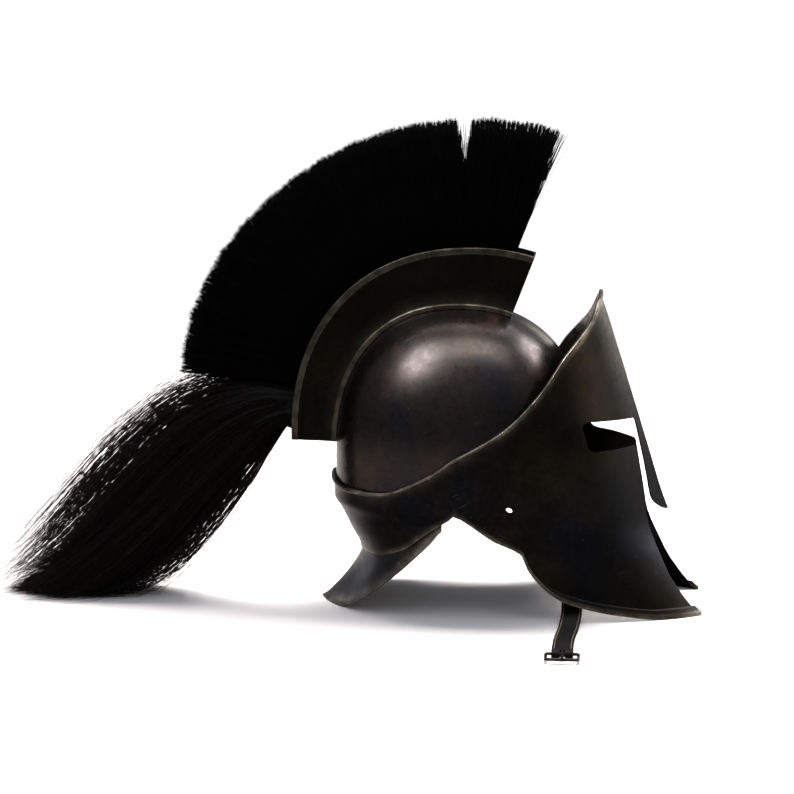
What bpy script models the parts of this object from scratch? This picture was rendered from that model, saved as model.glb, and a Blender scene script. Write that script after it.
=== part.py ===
"""Crested Greek helmet of blackened steel with a hair crest and an open leather chin strap.

The helmet stands on its cheek tips and its neck guard, on the plane Z = 0, and faces +X with its left
side at +Y. Lengths are metres. Helmet coordinates have X = 0 at the middle of the bowl. Every piece is
parented to one empty, which puts the middle of the whole object over the origin.
"""

import math
from typing import NamedTuple

import bmesh
import bpy
from mathutils import Vector

# Sheet metal and fits
SHEET = 0.0012  # wall of every steel plate
GAP = 0.0003  # clearance between pieces that touch
RIM_RADIUS = 0.0024  # rolled edge along the top of the face shell
HEM_RADIUS = 0.0022  # rolled edge along the bottom of the plates

# Bowl
BOWL_LENGTH = 0.251
BOWL_WIDTH = 0.198
BOWL_CROWN = 0.148  # height of the dome above its widest level
BOWL_LEVEL = 0.150  # that level above the floor
BOWL_FULLNESS = 2.3  # exponent of the dome, where 2 is a plain ellipsoid
BOWL_TUCK = 0.010  # how far the bowl reaches down inside the face shell
BOWL_FRONT_EDGE = 0.203  # lower edge of the bowl over the forehead
BOWL_SIDES = 48

# Face shell
BROW_HEIGHT = 0.312  # middle of the brow above the floor
FACE_REACH = 0.242  # cheek tips ahead of the bowl's middle
NAPE_TUCK = 0.026  # how far the nape draws in at its seam
HEM_BAND = 0.009  # height of the flared hem of the cheek guards
HEM_FLARE = 0.0022  # how far that hem stands out
HEM_FLAT = 0.0018  # depth of a rolled hem ground away where it stands on the floor

# Openings of the face
EYE_LEVEL = 0.163  # lower edge of the eye openings
EYE_HEIGHT = 0.031
EYE_REACH = 0.077  # outer corner of an eye opening from the middle plane
EYE_ROUNDING = 0.007
NASAL_ROOT = 0.0095  # half of the nasal's width between the eyes
NASAL_LEAF = 0.019  # half of its width low down, where it is widest
NASAL_TIP = 0.096  # lower end of the nasal above the floor
CHEEK_GAP_TOP = 0.021  # half of the gap between the cheek guards below the eyes
CHEEK_GAP_LOW = 0.052  # half of that gap near the floor
SIDE_HOLE_RADIUS = 0.0027
SIDE_HOLE_BACK = 0.00643  # small hole of each side wall, behind the short step of the ear
SIDE_HOLE_HEIGHT = 0.111

# Neck guard
GUARD_REACH = 0.040  # how far the guard flares out behind the nape seam
GUARD_LAP = 0.006  # lap of the guard inside the nape
GUARD_FIT = 0.0011  # clearance of that lap
GUARD_FADE = 0.10  # stretch at each end of the guard over which its rolled hem thins out
GUARD_ROOT = 0.05  # flare at the ends of the guard, as a share of GUARD_REACH
GUARD_SPREAD = 1.8  # how quickly the flare grows towards the nape
GUARD_CURL = 1.35  # how much of the flare is near the hem
GUARD_DROP = 0.9  # exponent of the guard's fall from its seam to its hem

# Crest box
BOX_WIDTH = 0.044
BOX_HEIGHT_FRONT = 0.064
BOX_HEIGHT_REAR = 0.045
BOX_REAR_RISE = 0.012  # rear end of the box above the widest level of the bowl
BOX_STEPS = 22
BOX_FRONT = 0.398  # front end on the bowl, as a share of the bowl's half length
BOX_FLANGE = 0.0065  # folded strip along the upper edge
BOX_FLANGE_OUT = 0.0016
BOX_LIP = 0.0045  # foot strip along the bowl
BOX_LIP_OUT = 0.0012

# Hair
BRUSH_LENGTH = 0.118  # free length of the crest's hair at the front
BRUSH_LOCKS = 22
LOCK_VALLEY_HALF = 0.82  # thickness of the brush between two locks, as a share of a lock's
LOCK_VALLEY_REACH = 0.970  # and its length there
BLOCK_DEPTH = 0.010  # top of the hair's backing below the edge of the crest box
BRUSH_SETBACK = 0.012  # start of the brush behind the front wall of the box
BRUSH_NOTCH = 0.011  # width of the split near the top of the brush
BRUSH_NOTCH_DEPTH = 0.050
BRUSH_NOTCH_PLACE = 0.165  # of the brush, from its front
TAIL_LOBES = 9
TAIL_RISE = 0.005  # hair straight out of the channel before it droops
TAIL_MARGIN = 0.10  # of the tail's stretch of channel, outside its lowest and top locks
TAIL_ARC = 0.042  # stretch of the channel, at its rear, that the tail fills
TAIL_REACH = 0.332  # tip of the tail behind the rear end of the crest box
TAIL_SPREAD = 0.050  # half of the tail's width on the floor
TAIL_LOCK = 0.0120  # radius of a free lock where it leaves the tail's body
TAIL_VALLEY = 0.86  # depth between two lobes of the body, as a share of its section
LOCK_START = 0.50  # where a free lock leaves the body, as a share of the tail's length
LOCK_THINNING = 0.75  # of its radius, from there to its tip
LOCK_GATHER = 0.30  # how spread the locks are there, as a share of their spread at the tips

# Chin strap
STRAP_WIDTH = 0.020
STRAP_THICK = 0.0022
STRAP_AHEAD = 0.113  # middle of the strap ahead of the bowl's middle
STRAP_TOP = 0.082  # upper end of the strap inside the cheek guard
STRAP_TURN = 0.050  # from the hanging strap out to where it lies flat
STRAP_DRIFT = 0.006  # how far a strap's outer end lies behind its upper one
STRAP_REACH = 0.246  # outer end of each strap half from the middle plane
STUD_RADIUS = 0.0022
STUD_HEAD = 0.0050
STUD_HEAD_THICK = 0.0016
STUD_HEIGHT = 0.074
STUD_SIDES = 16
BUCKLE_WIRE = 0.0015  # radius of the buckle's wire
BAR_FIT = 0.0005  # room for the bar in the strap's fold
PRONG_RADIUS = 0.0010
BUCKLE_WIDTH = 0.033
BUCKLE_LENGTH = 0.020
FOLD_LENGTH = 0.024  # strap folded back under itself round the buckle's bar
FOLD_LEAD = 1.9  # where the strap starts to rise over the fold, before the bar, in fold lengths
PUNCH_RADIUS = 0.0016
PUNCH_PITCH = 0.016
PUNCH_COUNT = 4

# Derived sizes
HALF_LENGTH = BOWL_LENGTH / 2
HALF_WIDTH = BOWL_WIDTH / 2
SHELL_REAR = HALF_LENGTH + GAP + SHEET
SHELL_HALF = HALF_WIDTH + GAP + SHEET
PLAIN_EDGE = SHEET * 0.52
ROLL_STEPS = 5
HEM_STEPS = 6  # enough for two points of each section in the flat where a hem stands
BOX_FLOOR = SHEET + 3 * GAP  # channel floor over the bowl, arched clear of it
EAR_STEP = 0.836  # place of the short step behind the cheek guard
EAR_STEP_WIDE = 0.014
GUARD_END = 0.053  # ends of the neck guard behind the middle of the ears
GUARD_SEAM_ROW = 0.8  # row of the neck guard at the nape seam
HEM_ROW = 0.2  # row of the plates at the upper border of the hem
TAIL_TIP = -HALF_LENGTH - BOX_HEIGHT_REAR - TAIL_REACH
MIDDLE = (TAIL_TIP + FACE_REACH) / 2


class Level(NamedTuple):
    """One level section of the front of the face shell, in shares of named sizes."""

    height: float  # of BROW_HEIGHT
    keel: float  # foremost point, of FACE_REACH
    nose: float  # first handle of the section's curve, of FACE_REACH
    bridge: float  # breadth of that handle, of SHELL_HALF
    corner: float  # second handle, of FACE_REACH
    half: float  # half width, of SHELL_HALF


class Along(NamedTuple):
    """A height at a place along the shell: 0 at the keel, 1 at the ear, 2 at the nape."""

    place: float
    share: float


FACE = (
    Level(0.000, 1.115, 1.050, 0.610, 0.815, 0.985),
    Level(0.067, 1.054, 0.960, 0.620, 0.744, 0.955),
    Level(0.144, 0.971, 0.876, 0.600, 0.685, 0.935),
    Level(0.290, 0.865, 0.720, 0.500, 0.630, 0.955),
    Level(0.345, 0.835, 0.690, 0.530, 0.615, 1.000),
    Level(0.529, 0.760, 0.620, 0.620, 0.590, 1.000),
    Level(0.692, 0.694, 0.608, 0.550, 0.500, 0.990),
    Level(0.840, 0.632, 0.587, 0.520, 0.463, 0.965),
    Level(0.930, 0.595, 0.574, 0.500, 0.455, 0.945),
    Level(1.000, 0.562, 0.552, 0.470, 0.446, 0.925),
)

# Top edge, as shares of BROW_HEIGHT
RIM = (
    Along(0.000, 1.000),
    Along(0.200, 0.974),
    Along(0.400, 0.905),
    Along(0.570, 0.828),
    Along(0.750, 0.688),
    Along(0.935, 0.556),
    Along(1.094, 0.458),
    Along(1.373, 0.389),
    Along(1.610, 0.388),
    Along(2.000, 0.411),
)

# Bottom edge, as shares of BOWL_LEVEL
EDGE = (
    Along(0.000, 0.000),
    Along(0.480, 0.000),
    Along(0.650, 0.045),
    Along(0.775, 0.135),
    Along(0.836, 0.315),
    Along(0.850, 0.440),
    Along(0.920, 0.535),
    Along(0.985, 0.664),
    Along(1.000, 0.695),
    Along(1.020, 0.664),
    Along(1.100, 0.590),
    Along(1.300, 0.445),
    Along(1.550, 0.385),
    Along(2.000, 0.375),
)

# Draw of the nape towards its seam: height as a share of BOWL_LEVEL, draw as a share of NAPE_TUCK
NAPE = (
    Along(0.000, 1.000),
    Along(0.380, 1.000),
    Along(0.520, 0.620),
    Along(0.650, 0.240),
    Along(0.720, 0.000),
    Along(1.000, 0.000),
)

# Lower edge of the neck guard, as shares of BOWL_LEVEL
GUARD_EDGE = (
    Along(1.000, 0.660),
    Along(1.060, 0.580),
    Along(1.110, 0.500),
    Along(1.360, 0.260),
    Along(1.700, 0.030),
    Along(1.800, 0.000),
    Along(2.000, 0.000),
)


class Hair(NamedTuple):
    """Hair of the brush at a place along it, 0 at the front and 1 at the rear."""

    place: float
    lean: float  # degrees towards the rear of square to the bowl
    length: float  # of BRUSH_LENGTH


class Hank(NamedTuple):
    """Route of the tail's hair, from its lowest locks at 0 to its top ones at 1."""

    level: float
    out_near: float  # first handle behind the crest box, of TAIL_REACH
    up_near: float  # its height, of the height of the lock's mouth
    out_far: float  # second handle
    up_far: float
    end: float  # tip behind the crest box


class Bend(NamedTuple):
    """One point of a strap's turn from where it hangs to where it lies flat."""

    out: float  # of STRAP_TURN
    height: float  # of the height of the hem above it
    lift: float  # added height, of half the strap's thickness


STRAP_BEND = (
    Bend(0.10, 0.62, 0.0),
    Bend(0.38, 0.36, 0.0),
    Bend(0.70, 0.17, 0.5),
)

BRUSH = (
    Hair(0.00, -7.0, 1.04),
    Hair(0.12, -2.0, 1.04),
    Hair(0.30, 3.0, 1.03),
    Hair(0.60, 3.0, 1.00),
    Hair(0.85, 7.0, 1.02),
    Hair(1.00, 9.0, 1.00),
)

TAIL = (
    Hank(0.0, 0.17, 0.59, 0.38, -0.29, 0.77),
    Hank(1.0, 0.44, 1.30, 0.69, 0.29, 1.015),
)

# Profile of a lock of the brush: share of its length and half thickness there
LOCK_PROFILE = ((0.0, 0.98), (0.10, 1.00), (0.55, 0.95), (0.93, 0.80), (1.0, 0.40))

# Body of the tail: share of its length and fullness there
TAIL_BODY = ((0.0, 0.90), (0.12, 1.0), (0.26, 1.0), (0.40, 1.0), (0.54, 0.95), (0.68, 0.80), (0.80, 0.50))

# Free locks at the end of the tail: level, place across it and length
TAIL_LOCKS = (
    (0.10, -0.80, 1.00),
    (0.12, 0.75, 0.94),
    (0.28, 0.10, 0.98),
    (0.45, -0.70, 0.97),
    (0.50, 0.80, 1.00),
    (0.70, 0.35, 0.96),
    (0.80, -0.35, 1.00),
    (0.90, 0.05, 1.00),
)


def read(rows, column, at):
    """Value of a table's column at a place in its first column, on a curve that never overshoots."""
    places = [row[0] for row in rows]
    values = [getattr(row, column) for row in rows]
    if at <= places[0]:
        return values[0]
    if at >= places[-1]:
        return values[-1]
    slopes = [(values[k + 1] - values[k]) / (places[k + 1] - places[k]) for k in range(len(rows) - 1)]

    def tangent(k):
        if k == 0 or k == len(rows) - 1:
            return slopes[min(k, len(slopes) - 1)]
        before, after = slopes[k - 1], slopes[k]
        return 0.0 if before * after <= 0 else 2 * before * after / (before + after)

    k = max(i for i in range(len(rows) - 1) if places[i] <= at)
    width = places[k + 1] - places[k]
    t = (at - places[k]) / width
    rise = values[k + 1] - values[k]
    start, end = tangent(k) * width, tangent(k + 1) * width
    return values[k] + t * (start + t * ((3 * rise - 2 * start - end) + t * (start + end - 2 * rise)))


def bezier(points, t):
    """Point of a cubic curve with two handles."""
    weights = ((1 - t) ** 3, 3 * t * (1 - t) ** 2, 3 * t * t * (1 - t), t**3)
    total = Vector([0.0] * len(points[0]))
    for point, weight in zip(points, weights):
        total += Vector(point) * weight
    return total


def power(value, exponent):
    """Signed power, for super-ellipses."""
    return math.copysign(abs(value) ** exponent, value)


def material(name, color, metallic, roughness):
    """A plain Principled material."""
    made = bpy.data.materials.new(name)
    made.use_nodes = True
    shader = made.node_tree.nodes["Principled BSDF"]
    shader.inputs["Base Color"].default_value = (*color, 1.0)
    shader.inputs["Metallic"].default_value = metallic
    shader.inputs["Roughness"].default_value = roughness
    made.diffuse_color = (*color, 1.0)
    return made


def finish(name, bm, look, root):
    """Turns a bmesh into a named, smoothly shaded object under the root empty."""
    bmesh.ops.recalc_face_normals(bm, faces=bm.faces)
    mesh = bpy.data.meshes.new(name)
    bm.to_mesh(mesh)
    bm.free()
    mesh.shade_smooth()
    mesh.set_sharp_from_angle(angle=math.radians(40))
    mesh.materials.append(look)
    piece = bpy.data.objects.new(name, mesh)
    bpy.context.collection.objects.link(piece)
    piece.parent = root
    return piece


def loft(loops, ring):
    """Closed body through loops of equally many points: a ring of them, or a row with filled ends."""
    columns = len(loops) if ring else len(loops) - 1
    rows = len(loops[0])
    bm = bmesh.new()
    bmesh.ops.create_grid(bm, x_segments=columns, y_segments=rows, size=0.5)
    for vert in bm.verts:
        column = round((vert.co.x + 0.5) * columns)
        row = round((vert.co.y + 0.5) * rows)
        vert.co = loops[column % len(loops)][row % rows]
    bmesh.ops.remove_doubles(bm, verts=bm.verts, dist=1e-6)
    open_edges = [edge for edge in bm.edges if edge.is_boundary]
    if open_edges:
        caps = bmesh.ops.holes_fill(bm, edges=open_edges, sides=0)["faces"]
        bmesh.ops.triangulate(bm, faces=caps, ngon_method="BEAUTY")
    return bm


def cut(piece, cutter, operation="DIFFERENCE"):
    """Boolean of a piece with a hidden cutter."""
    cutter.hide_render = True
    cutter.display_type = "WIRE"
    boolean = piece.modifiers.new(cutter.name, "BOOLEAN")
    boolean.operation = operation
    boolean.solver = "EXACT"
    boolean.object = cutter
    return piece


def roll(inner, outward, onward, radius, steps):
    """Points of a rolled edge round a wire: from the wall's outer side over the edge to its inner one."""
    middle = inner + outward * radius
    start = math.asin(min((SHEET - radius) / radius, 1.0))
    sweep = 1.5 * math.pi - start
    angles = [start + sweep * k / steps for k in range(steps + 1)]
    return [middle - onward * (radius * math.cos(a)) + outward * (radius * math.sin(a)) for a in angles]


def rolled_plate(surface, places, rows, top_radius, hem_radius, ring):
    """Bent sheet with a wall of SHEET and edges rolled outwards, the lower one ground flat at Z = 0.

    surface(place, row) gives the outer side for row 0 at the hem to 1 at the top, and top_radius and
    hem_radius give the roll at a place. A radius of half the wall is a plain rounded edge.
    """
    step = 1e-4
    loops = []
    for place in places:
        outer, inner, normals = [], [], []
        for row in rows:
            across = surface(place + step, row) - surface(place - step, row)
            up = surface(place, min(row + step, 1.0)) - surface(place, max(row - step, 0.0))
            normals.append(across.cross(up).normalized())
            outer.append(surface(place, row))
            inner.append(outer[-1] - normals[-1] * SHEET)
        top_way = (outer[-1] - outer[-2]).normalized()
        hem_way = (outer[0] - outer[1]).normalized()
        top = roll(inner[-1], normals[-1], top_way, top_radius(place), ROLL_STEPS)
        hem = roll(inner[0], normals[0], hem_way, hem_radius(place), HEM_STEPS)
        loop = outer[1:-1] + top + inner[-2:0:-1] + hem[::-1]
        loops.append([Vector((p.x, p.y, max(p.z, 0.0))) for p in loop])
    return loft(loops, ring)


def spread(count, start, end):
    """Evenly spaced values, both ends included."""
    return [start + (end - start) * k / (count - 1) for k in range(count)]


def bowl_point(turn, lift, out=0.0):
    """Outer side of the bowl: turn round the vertical from the front, lift up the meridian."""
    along = HALF_LENGTH + out
    across = HALF_WIDTH + out
    up = BOWL_CROWN + out
    share = 2 / BOWL_FULLNESS
    round_in = math.cos(lift) ** share if lift > 0 else 1.0
    height = up * math.sin(lift) ** share if lift > 0 else up * lift
    return Vector(
        (
            along * round_in * power(math.cos(turn), share),
            across * round_in * power(math.sin(turn), share),
            BOWL_LEVEL + height,
        )
    )


def bowl_lift(height):
    """Meridian angle of a height on the bowl."""
    above = (height - BOWL_LEVEL) / BOWL_CROWN
    return math.asin(above ** (BOWL_FULLNESS / 2)) if above > 0 else above


def rim_height(place):
    """Height of the shell's top edge at a place round it."""
    return BROW_HEIGHT * read(RIM, "share", abs(place))


def edge_height(place):
    """Height of the shell's bottom edge at a place round it."""
    return BOWL_LEVEL * read(EDGE, "share", abs(place))


def shell_section(place, height):
    """Outer side of the face shell at a place round it and a height."""
    side = math.copysign(1.0, place)
    place = abs(place)
    level = height / BROW_HEIGHT
    half = SHELL_HALF * read(FACE, "half", level)
    if place <= 1:
        curve = (
            (FACE_REACH * read(FACE, "keel", level), 0.0),
            (FACE_REACH * read(FACE, "nose", level), SHELL_HALF * read(FACE, "bridge", level)),
            (FACE_REACH * read(FACE, "corner", level), half),
            (0.0, half),
        )
        x, y = bezier(curve, place)
    else:
        turn = math.pi / 2 * place
        draw = NAPE_TUCK * read(NAPE, "share", height / BOWL_LEVEL)
        x = (SHELL_REAR - draw) * power(math.cos(turn), 2 / BOWL_FULLNESS)
        y = half * power(math.sin(turn), 2 / BOWL_FULLNESS)
    return Vector((x, side * y, height))


def shell_surface(place, row):
    """Outer side of the face shell: row 0 at its bottom edge, HEM_ROW above the hem, 1 at its rim."""
    low = edge_height(place) + HEM_RADIUS - HEM_FLAT
    high = rim_height(place)
    if row <= HEM_ROW:
        height = low + HEM_BAND * row / HEM_ROW
    else:
        height = low + HEM_BAND + (high - low - HEM_BAND) * (row - HEM_ROW) / (1 - HEM_ROW)
    point = shell_section(place, height)
    flare = HEM_FLARE * max(1 - row / HEM_ROW, 0.0) ** 2 * cheek_share(place)
    return point + Vector((point.x, point.y, 0.0)).normalized() * flare


def cheek_share(place):
    """1 on the cheek guards, 0 from the ear back."""
    return min(max((0.94 - abs(place)) / 0.10, 0.0), 1.0)


def shell_at(ahead, height):
    """Place round the shell's front where its section has this X."""
    low, high = 0.0, 1.0
    for _ in range(40):
        place = (low + high) / 2
        if shell_section(place, height).x > ahead:
            low = place
        else:
            high = place
    return low


def rounded(corners, steps=5):
    """Closed outline through (y, z, radius) corners, each rounded by an arc-like curve."""
    outline = []
    count = len(corners)
    for k, (y, z, radius) in enumerate(corners):
        here = Vector((y, z))
        if not radius:
            outline.append(here)
            continue
        before = Vector(corners[k - 1][:2]) - here
        after = Vector(corners[(k + 1) % count][:2]) - here
        reach = min(radius, before.length * 0.49, after.length * 0.49)
        start, end = here + before.normalized() * reach, here + after.normalized() * reach
        for t in spread(steps, 0.0, 1.0):
            outline.append(start * (1 - t) ** 2 + here * (2 * t * (1 - t)) + end * t * t)
    return outline


def prism(name, outline, sweep, look, root):
    """Body with a flat outline of points, swept along a vector."""
    bm = bmesh.new()
    face = bm.faces.new([bm.verts.new(point) for point in outline])
    swept = bmesh.ops.extrude_face_region(bm, geom=[face])["geom"]
    moved = [item for item in swept if isinstance(item, bmesh.types.BMVert)]
    bmesh.ops.translate(bm, verts=moved, vec=sweep)
    return finish(name, bm, look, root)


def rod(name, start, end, radius, look, root, sides=16):
    """Straight round bar between two points."""
    bm = bmesh.new()
    axis = Vector(end) - Vector(start)
    bmesh.ops.create_cone(
        bm, cap_ends=True, segments=sides, radius1=radius, radius2=radius, depth=axis.length
    )
    turned = Vector((0, 0, 1)).rotation_difference(axis).to_matrix()
    bmesh.ops.rotate(bm, verts=bm.verts, matrix=turned)
    bmesh.ops.translate(bm, verts=bm.verts, vec=(Vector(start) + Vector(end)) / 2)
    return finish(name, bm, look, root)


def face_opening():
    """Outline of the face opening seen from the front: eyes, nasal and the gap of the cheeks."""
    below = -HEM_RADIUS * 8
    eye_top = EYE_LEVEL + EYE_HEIGHT
    mouth = (NASAL_TIP + EYE_LEVEL) / 2
    half = (
        (CHEEK_GAP_LOW, below, 0),
        (CHEEK_GAP_LOW, EYE_LEVEL * 0.20, 0.030),
        (CHEEK_GAP_TOP + (CHEEK_GAP_LOW - CHEEK_GAP_TOP) * 0.30, NASAL_TIP, 0.030),
        (CHEEK_GAP_TOP, EYE_LEVEL, EYE_ROUNDING * 0.5),
        (EYE_REACH, EYE_LEVEL + EYE_HEIGHT * 0.04, EYE_ROUNDING),
        (EYE_REACH, eye_top, EYE_ROUNDING),
        (NASAL_ROOT, eye_top - EYE_HEIGHT * 0.18, EYE_ROUNDING * 0.4),
        (NASAL_ROOT + (NASAL_LEAF - NASAL_ROOT) * 0.35, mouth + EYE_HEIGHT * 0.4, 0.020),
        (NASAL_LEAF, NASAL_TIP + EYE_HEIGHT * 0.35, 0.009),
        (NASAL_LEAF * 0.25, NASAL_TIP, 0.004),
    )
    other = tuple((-y, z, radius) for y, z, radius in reversed(half))
    return rounded(half + other)


def place_of(turn):
    """Place along the shell beside a turn of the bowl, counted from the front."""
    if turn >= math.pi / 2:
        return turn / (math.pi / 2)
    return shell_at(HALF_LENGTH * power(math.cos(turn), 2 / BOWL_FULLNESS), BOWL_LEVEL)


def make_bowl(look, root):
    """Skull dome, tucked inside the face shell and open below."""
    loops = []
    for k in range(BOWL_SIDES):
        turn = 2 * math.pi * k / BOWL_SIDES
        place = place_of(min(turn, 2 * math.pi - turn))
        edge = min(rim_height(place) - BOWL_TUCK, BOWL_FRONT_EDGE)
        lifts = spread(9, bowl_lift(edge), math.pi / 2)
        outer = [bowl_point(turn, lift) for lift in lifts]
        inner = [bowl_point(turn, lift, -SHEET) for lift in reversed(lifts)]
        loops.append(outer + inner)
    return finish("bowl", loft(loops, True), look, root)


def make_face_shell(look, root):
    """Face, cheek guards, side walls and nape in one bent sheet."""
    front = spread(10, 0.0, 0.72) + [0.775, 0.81]
    front += [EAR_STEP, EAR_STEP + EAR_STEP_WIDE, 0.885, 0.92, 0.96, 0.985]
    half = front + spread(BOWL_SIDES // 4 + 1, 1.0, 2.0)
    places = [-place for place in half[:0:-1]] + half[:-1]
    rows = (0.0, HEM_ROW / 2, HEM_ROW, 0.29, 0.40, 0.54, 0.70, 0.85, 1.0)

    def top_radius(place):
        return RIM_RADIUS

    def hem_radius(place):
        return PLAIN_EDGE + (HEM_RADIUS - PLAIN_EDGE) * cheek_share(place)

    bm = rolled_plate(shell_surface, places, rows, top_radius, hem_radius, True)
    shell = finish("face_shell", bm, look, root)
    outline = [Vector((EYE_REACH, p.x, p.y)) for p in face_opening()]
    cut(shell, prism("cut_face_opening", outline, (FACE_REACH * 1.4, 0, 0), look, root))
    ahead = shell_section(EAR_STEP + EAR_STEP_WIDE, SIDE_HOLE_HEIGHT).x - SIDE_HOLE_BACK
    start = (ahead, -BOWL_WIDTH, SIDE_HOLE_HEIGHT)
    end = (ahead, BOWL_WIDTH, SIDE_HOLE_HEIGHT)
    return cut(shell, rod("cut_side_holes", start, end, SIDE_HOLE_RADIUS, look, root, 10))


def shell_inside(place, height, clearance):
    """Point a clearance inside the face shell's inner side."""
    step = 1e-4
    across = shell_section(place + step, height) - shell_section(place - step, height)
    up = shell_section(place, height + step) - shell_section(place, height - step)
    return shell_section(place, height) - across.cross(up).normalized() * (SHEET + clearance)


def wall_at(ahead, height, clearance):
    """Distance from the middle plane to a clearance inside a cheek guard, at an X and a height."""
    low, high = 0.0, 1.0
    for _ in range(40):
        place = (low + high) / 2
        if shell_inside(place, height, clearance).x > ahead:
            low = place
        else:
            high = place
    return shell_inside(low, height, clearance).y


def guard_surface(swing, row):
    """Outer side of the neck guard: swing 0 at the nape, row 0 at its hem, 1 at the top of its lap."""
    place = 2 - abs(swing)
    side = math.copysign(1.0, -swing)
    seam = edge_height(place) + HEM_RADIUS - HEM_FLAT
    if row >= GUARD_SEAM_ROW:
        rise = GUARD_LAP * (row - GUARD_SEAM_ROW) / (1 - GUARD_SEAM_ROW)
        point = shell_inside(place, seam + rise, GUARD_FIT)
    else:
        start = shell_inside(place, seam, GUARD_FIT)
        down = 1 - row / GUARD_SEAM_ROW
        low = BOWL_LEVEL * read(GUARD_EDGE, "share", place) + HEM_RADIUS - HEM_FLAT
        reach = GUARD_REACH * (GUARD_ROOT + (1 - GUARD_ROOT) * (place - 1) ** GUARD_SPREAD)
        outward = Vector((start.x, start.y, 0.0)).normalized()
        point = start + outward * (reach * down**GUARD_CURL)
        point.z = seam + (low - seam) * down**GUARD_DROP
    return Vector((point.x, side * point.y, point.z))


def make_neck_guard(look, root):
    """Flared plate below the nape, lapped inside it."""
    quarter = BOWL_SIDES // 4
    swings = spread(2 * quarter - 1, 1 / quarter - 1, 1 - 1 / quarter)
    swings = [GUARD_END - 1] + swings + [1 - GUARD_END]
    rows = (0.0, 0.2, 0.4, 0.6, GUARD_SEAM_ROW, 1.0)

    def top_radius(swing):
        return PLAIN_EDGE

    def hem_radius(swing):
        return PLAIN_EDGE + (HEM_RADIUS - PLAIN_EDGE) * min((1 - abs(swing) - GUARD_END) / GUARD_FADE, 1.0)

    bm = rolled_plate(guard_surface, swings, rows, top_radius, hem_radius, False)
    return finish("neck_guard", bm, look, root)


def crest_angle(along):
    """Angle on the bowl's profile at a share along the crest box, 0 at its front end."""
    front = math.acos(BOX_FRONT ** (BOWL_FULLNESS / 2))
    rear = math.pi - math.asin((BOX_REAR_RISE / BOWL_CROWN) ** (BOWL_FULLNESS / 2))
    return front + (rear - front) * along


def crest_point(along, across, height):
    """Point over the bowl's crest line: a share along the box, a breadth off it and a height over it."""
    share = 2 / BOWL_FULLNESS
    angle = crest_angle(along)
    narrow = (1 - (abs(across) / HALF_WIDTH) ** BOWL_FULLNESS) ** (1 / BOWL_FULLNESS)
    x = HALF_LENGTH * power(math.cos(angle), share) * narrow
    z = BOWL_CROWN * math.sin(angle) ** share * narrow
    return Vector((x, across, BOWL_LEVEL + z)) + crest_normal(along) * height


def crest_normal(along):
    """Outward direction of the bowl's profile at a share along the crest box."""
    angle = crest_angle(along)
    power_of = 2 * (BOWL_FULLNESS - 1) / BOWL_FULLNESS
    x = power(math.cos(angle), power_of) / HALF_LENGTH
    z = power(math.sin(angle), power_of) / BOWL_CROWN
    return Vector((x, 0.0, z)).normalized()


def box_height(along):
    """Height of the crest box over the bowl."""
    return BOX_HEIGHT_FRONT + (BOX_HEIGHT_REAR - BOX_HEIGHT_FRONT) * along


def crest_length():
    """Length of the bowl's profile under the crest box."""
    points = [crest_point(along, 0.0, 0.0) for along in spread(60, 0.0, 1.0)]
    return sum((b - a).length for a, b in zip(points, points[1:]))


def make_crest_box(look, root):
    """Curved channel on the bowl with end walls, a foot lip and a folded upper flange."""
    wall = SHEET / crest_length()
    face = wall * 1.1
    half = BOX_WIDTH / 2
    inside = half - SHEET
    loops = []
    for along in [0.0, wall, face] + spread(BOX_STEPS, 0.03, 0.97) + [1 - face, 1 - wall, 1.0]:
        top = GAP + box_height(along)
        solid = along <= wall or along >= 1 - wall
        floor = top - SHEET if solid else BOX_FLOOR
        flange = top - BOX_FLANGE
        right = [
            (half + BOX_LIP_OUT, GAP),
            (half + BOX_LIP_OUT, GAP + BOX_LIP),
            (half, GAP + BOX_LIP + BOX_LIP_OUT),
            (half, flange - BOX_FLANGE_OUT),
            (half + BOX_FLANGE_OUT, flange),
            (half + BOX_FLANGE_OUT, top),
            (inside, top),
            (inside, floor),
            (half / 2, floor),
        ]
        left = [(-y, height) for y, height in reversed(right)]
        bottom = [(-half / 2, 2 * GAP), (0.0, 2 * GAP), (half / 2, 2 * GAP)]
        loop = right + [(0.0, floor)] + left + bottom
        loops.append([crest_point(along, y, height) for y, height in loop])
    return finish("crest_box", loft(loops, False), look, root)


def backing_section(along):
    """Section of the backing in the channel: its two top corners, then its arched floor."""
    inside = BOX_WIDTH / 2 - SHEET - GAP
    top = box_height(along) - BLOCK_DEPTH
    floor = BOX_FLOOR + 2 * GAP
    return [(inside, top), (-inside, top)] + [(y, floor) for y in spread(5, -inside, inside)]


def channel_block(start, end):
    """Backing that fills the channel below the hair, from one share along the crest box to another."""
    loops = []
    for along in spread(max(4, round((end - start) * BOX_STEPS)), start, end):
        loops.append([crest_point(along, y, height) for y, height in backing_section(along)])
    return loft(loops, False)


def strand(points, radii, flats, sides=6):
    """Tapered lock of hair through points, with a ring at each point and closed ends.

    radii are the half heights of the rings and flats their half widths along Y.
    """
    loops = []
    for k, point in enumerate(points):
        ahead = points[min(k + 1, len(points) - 1)] - points[max(k - 1, 0)]
        side = Vector((0.0, 1.0, 0.0))
        up = ahead.cross(side).normalized()
        ring = []
        for corner in range(sides):
            angle = 2 * math.pi * (corner + 0.5) / sides
            corner_point = point + side * (flats[k] * math.cos(angle)) + up * (radii[k] * math.sin(angle))
            ring.append(Vector((corner_point.x, corner_point.y, max(corner_point.z, 0.0))))
        loops.append(ring)
    return loft(loops, False)


def tail_start():
    """Share along the crest box where the tail's head begins."""
    return 1 - TAIL_ARC / crest_length()


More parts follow.
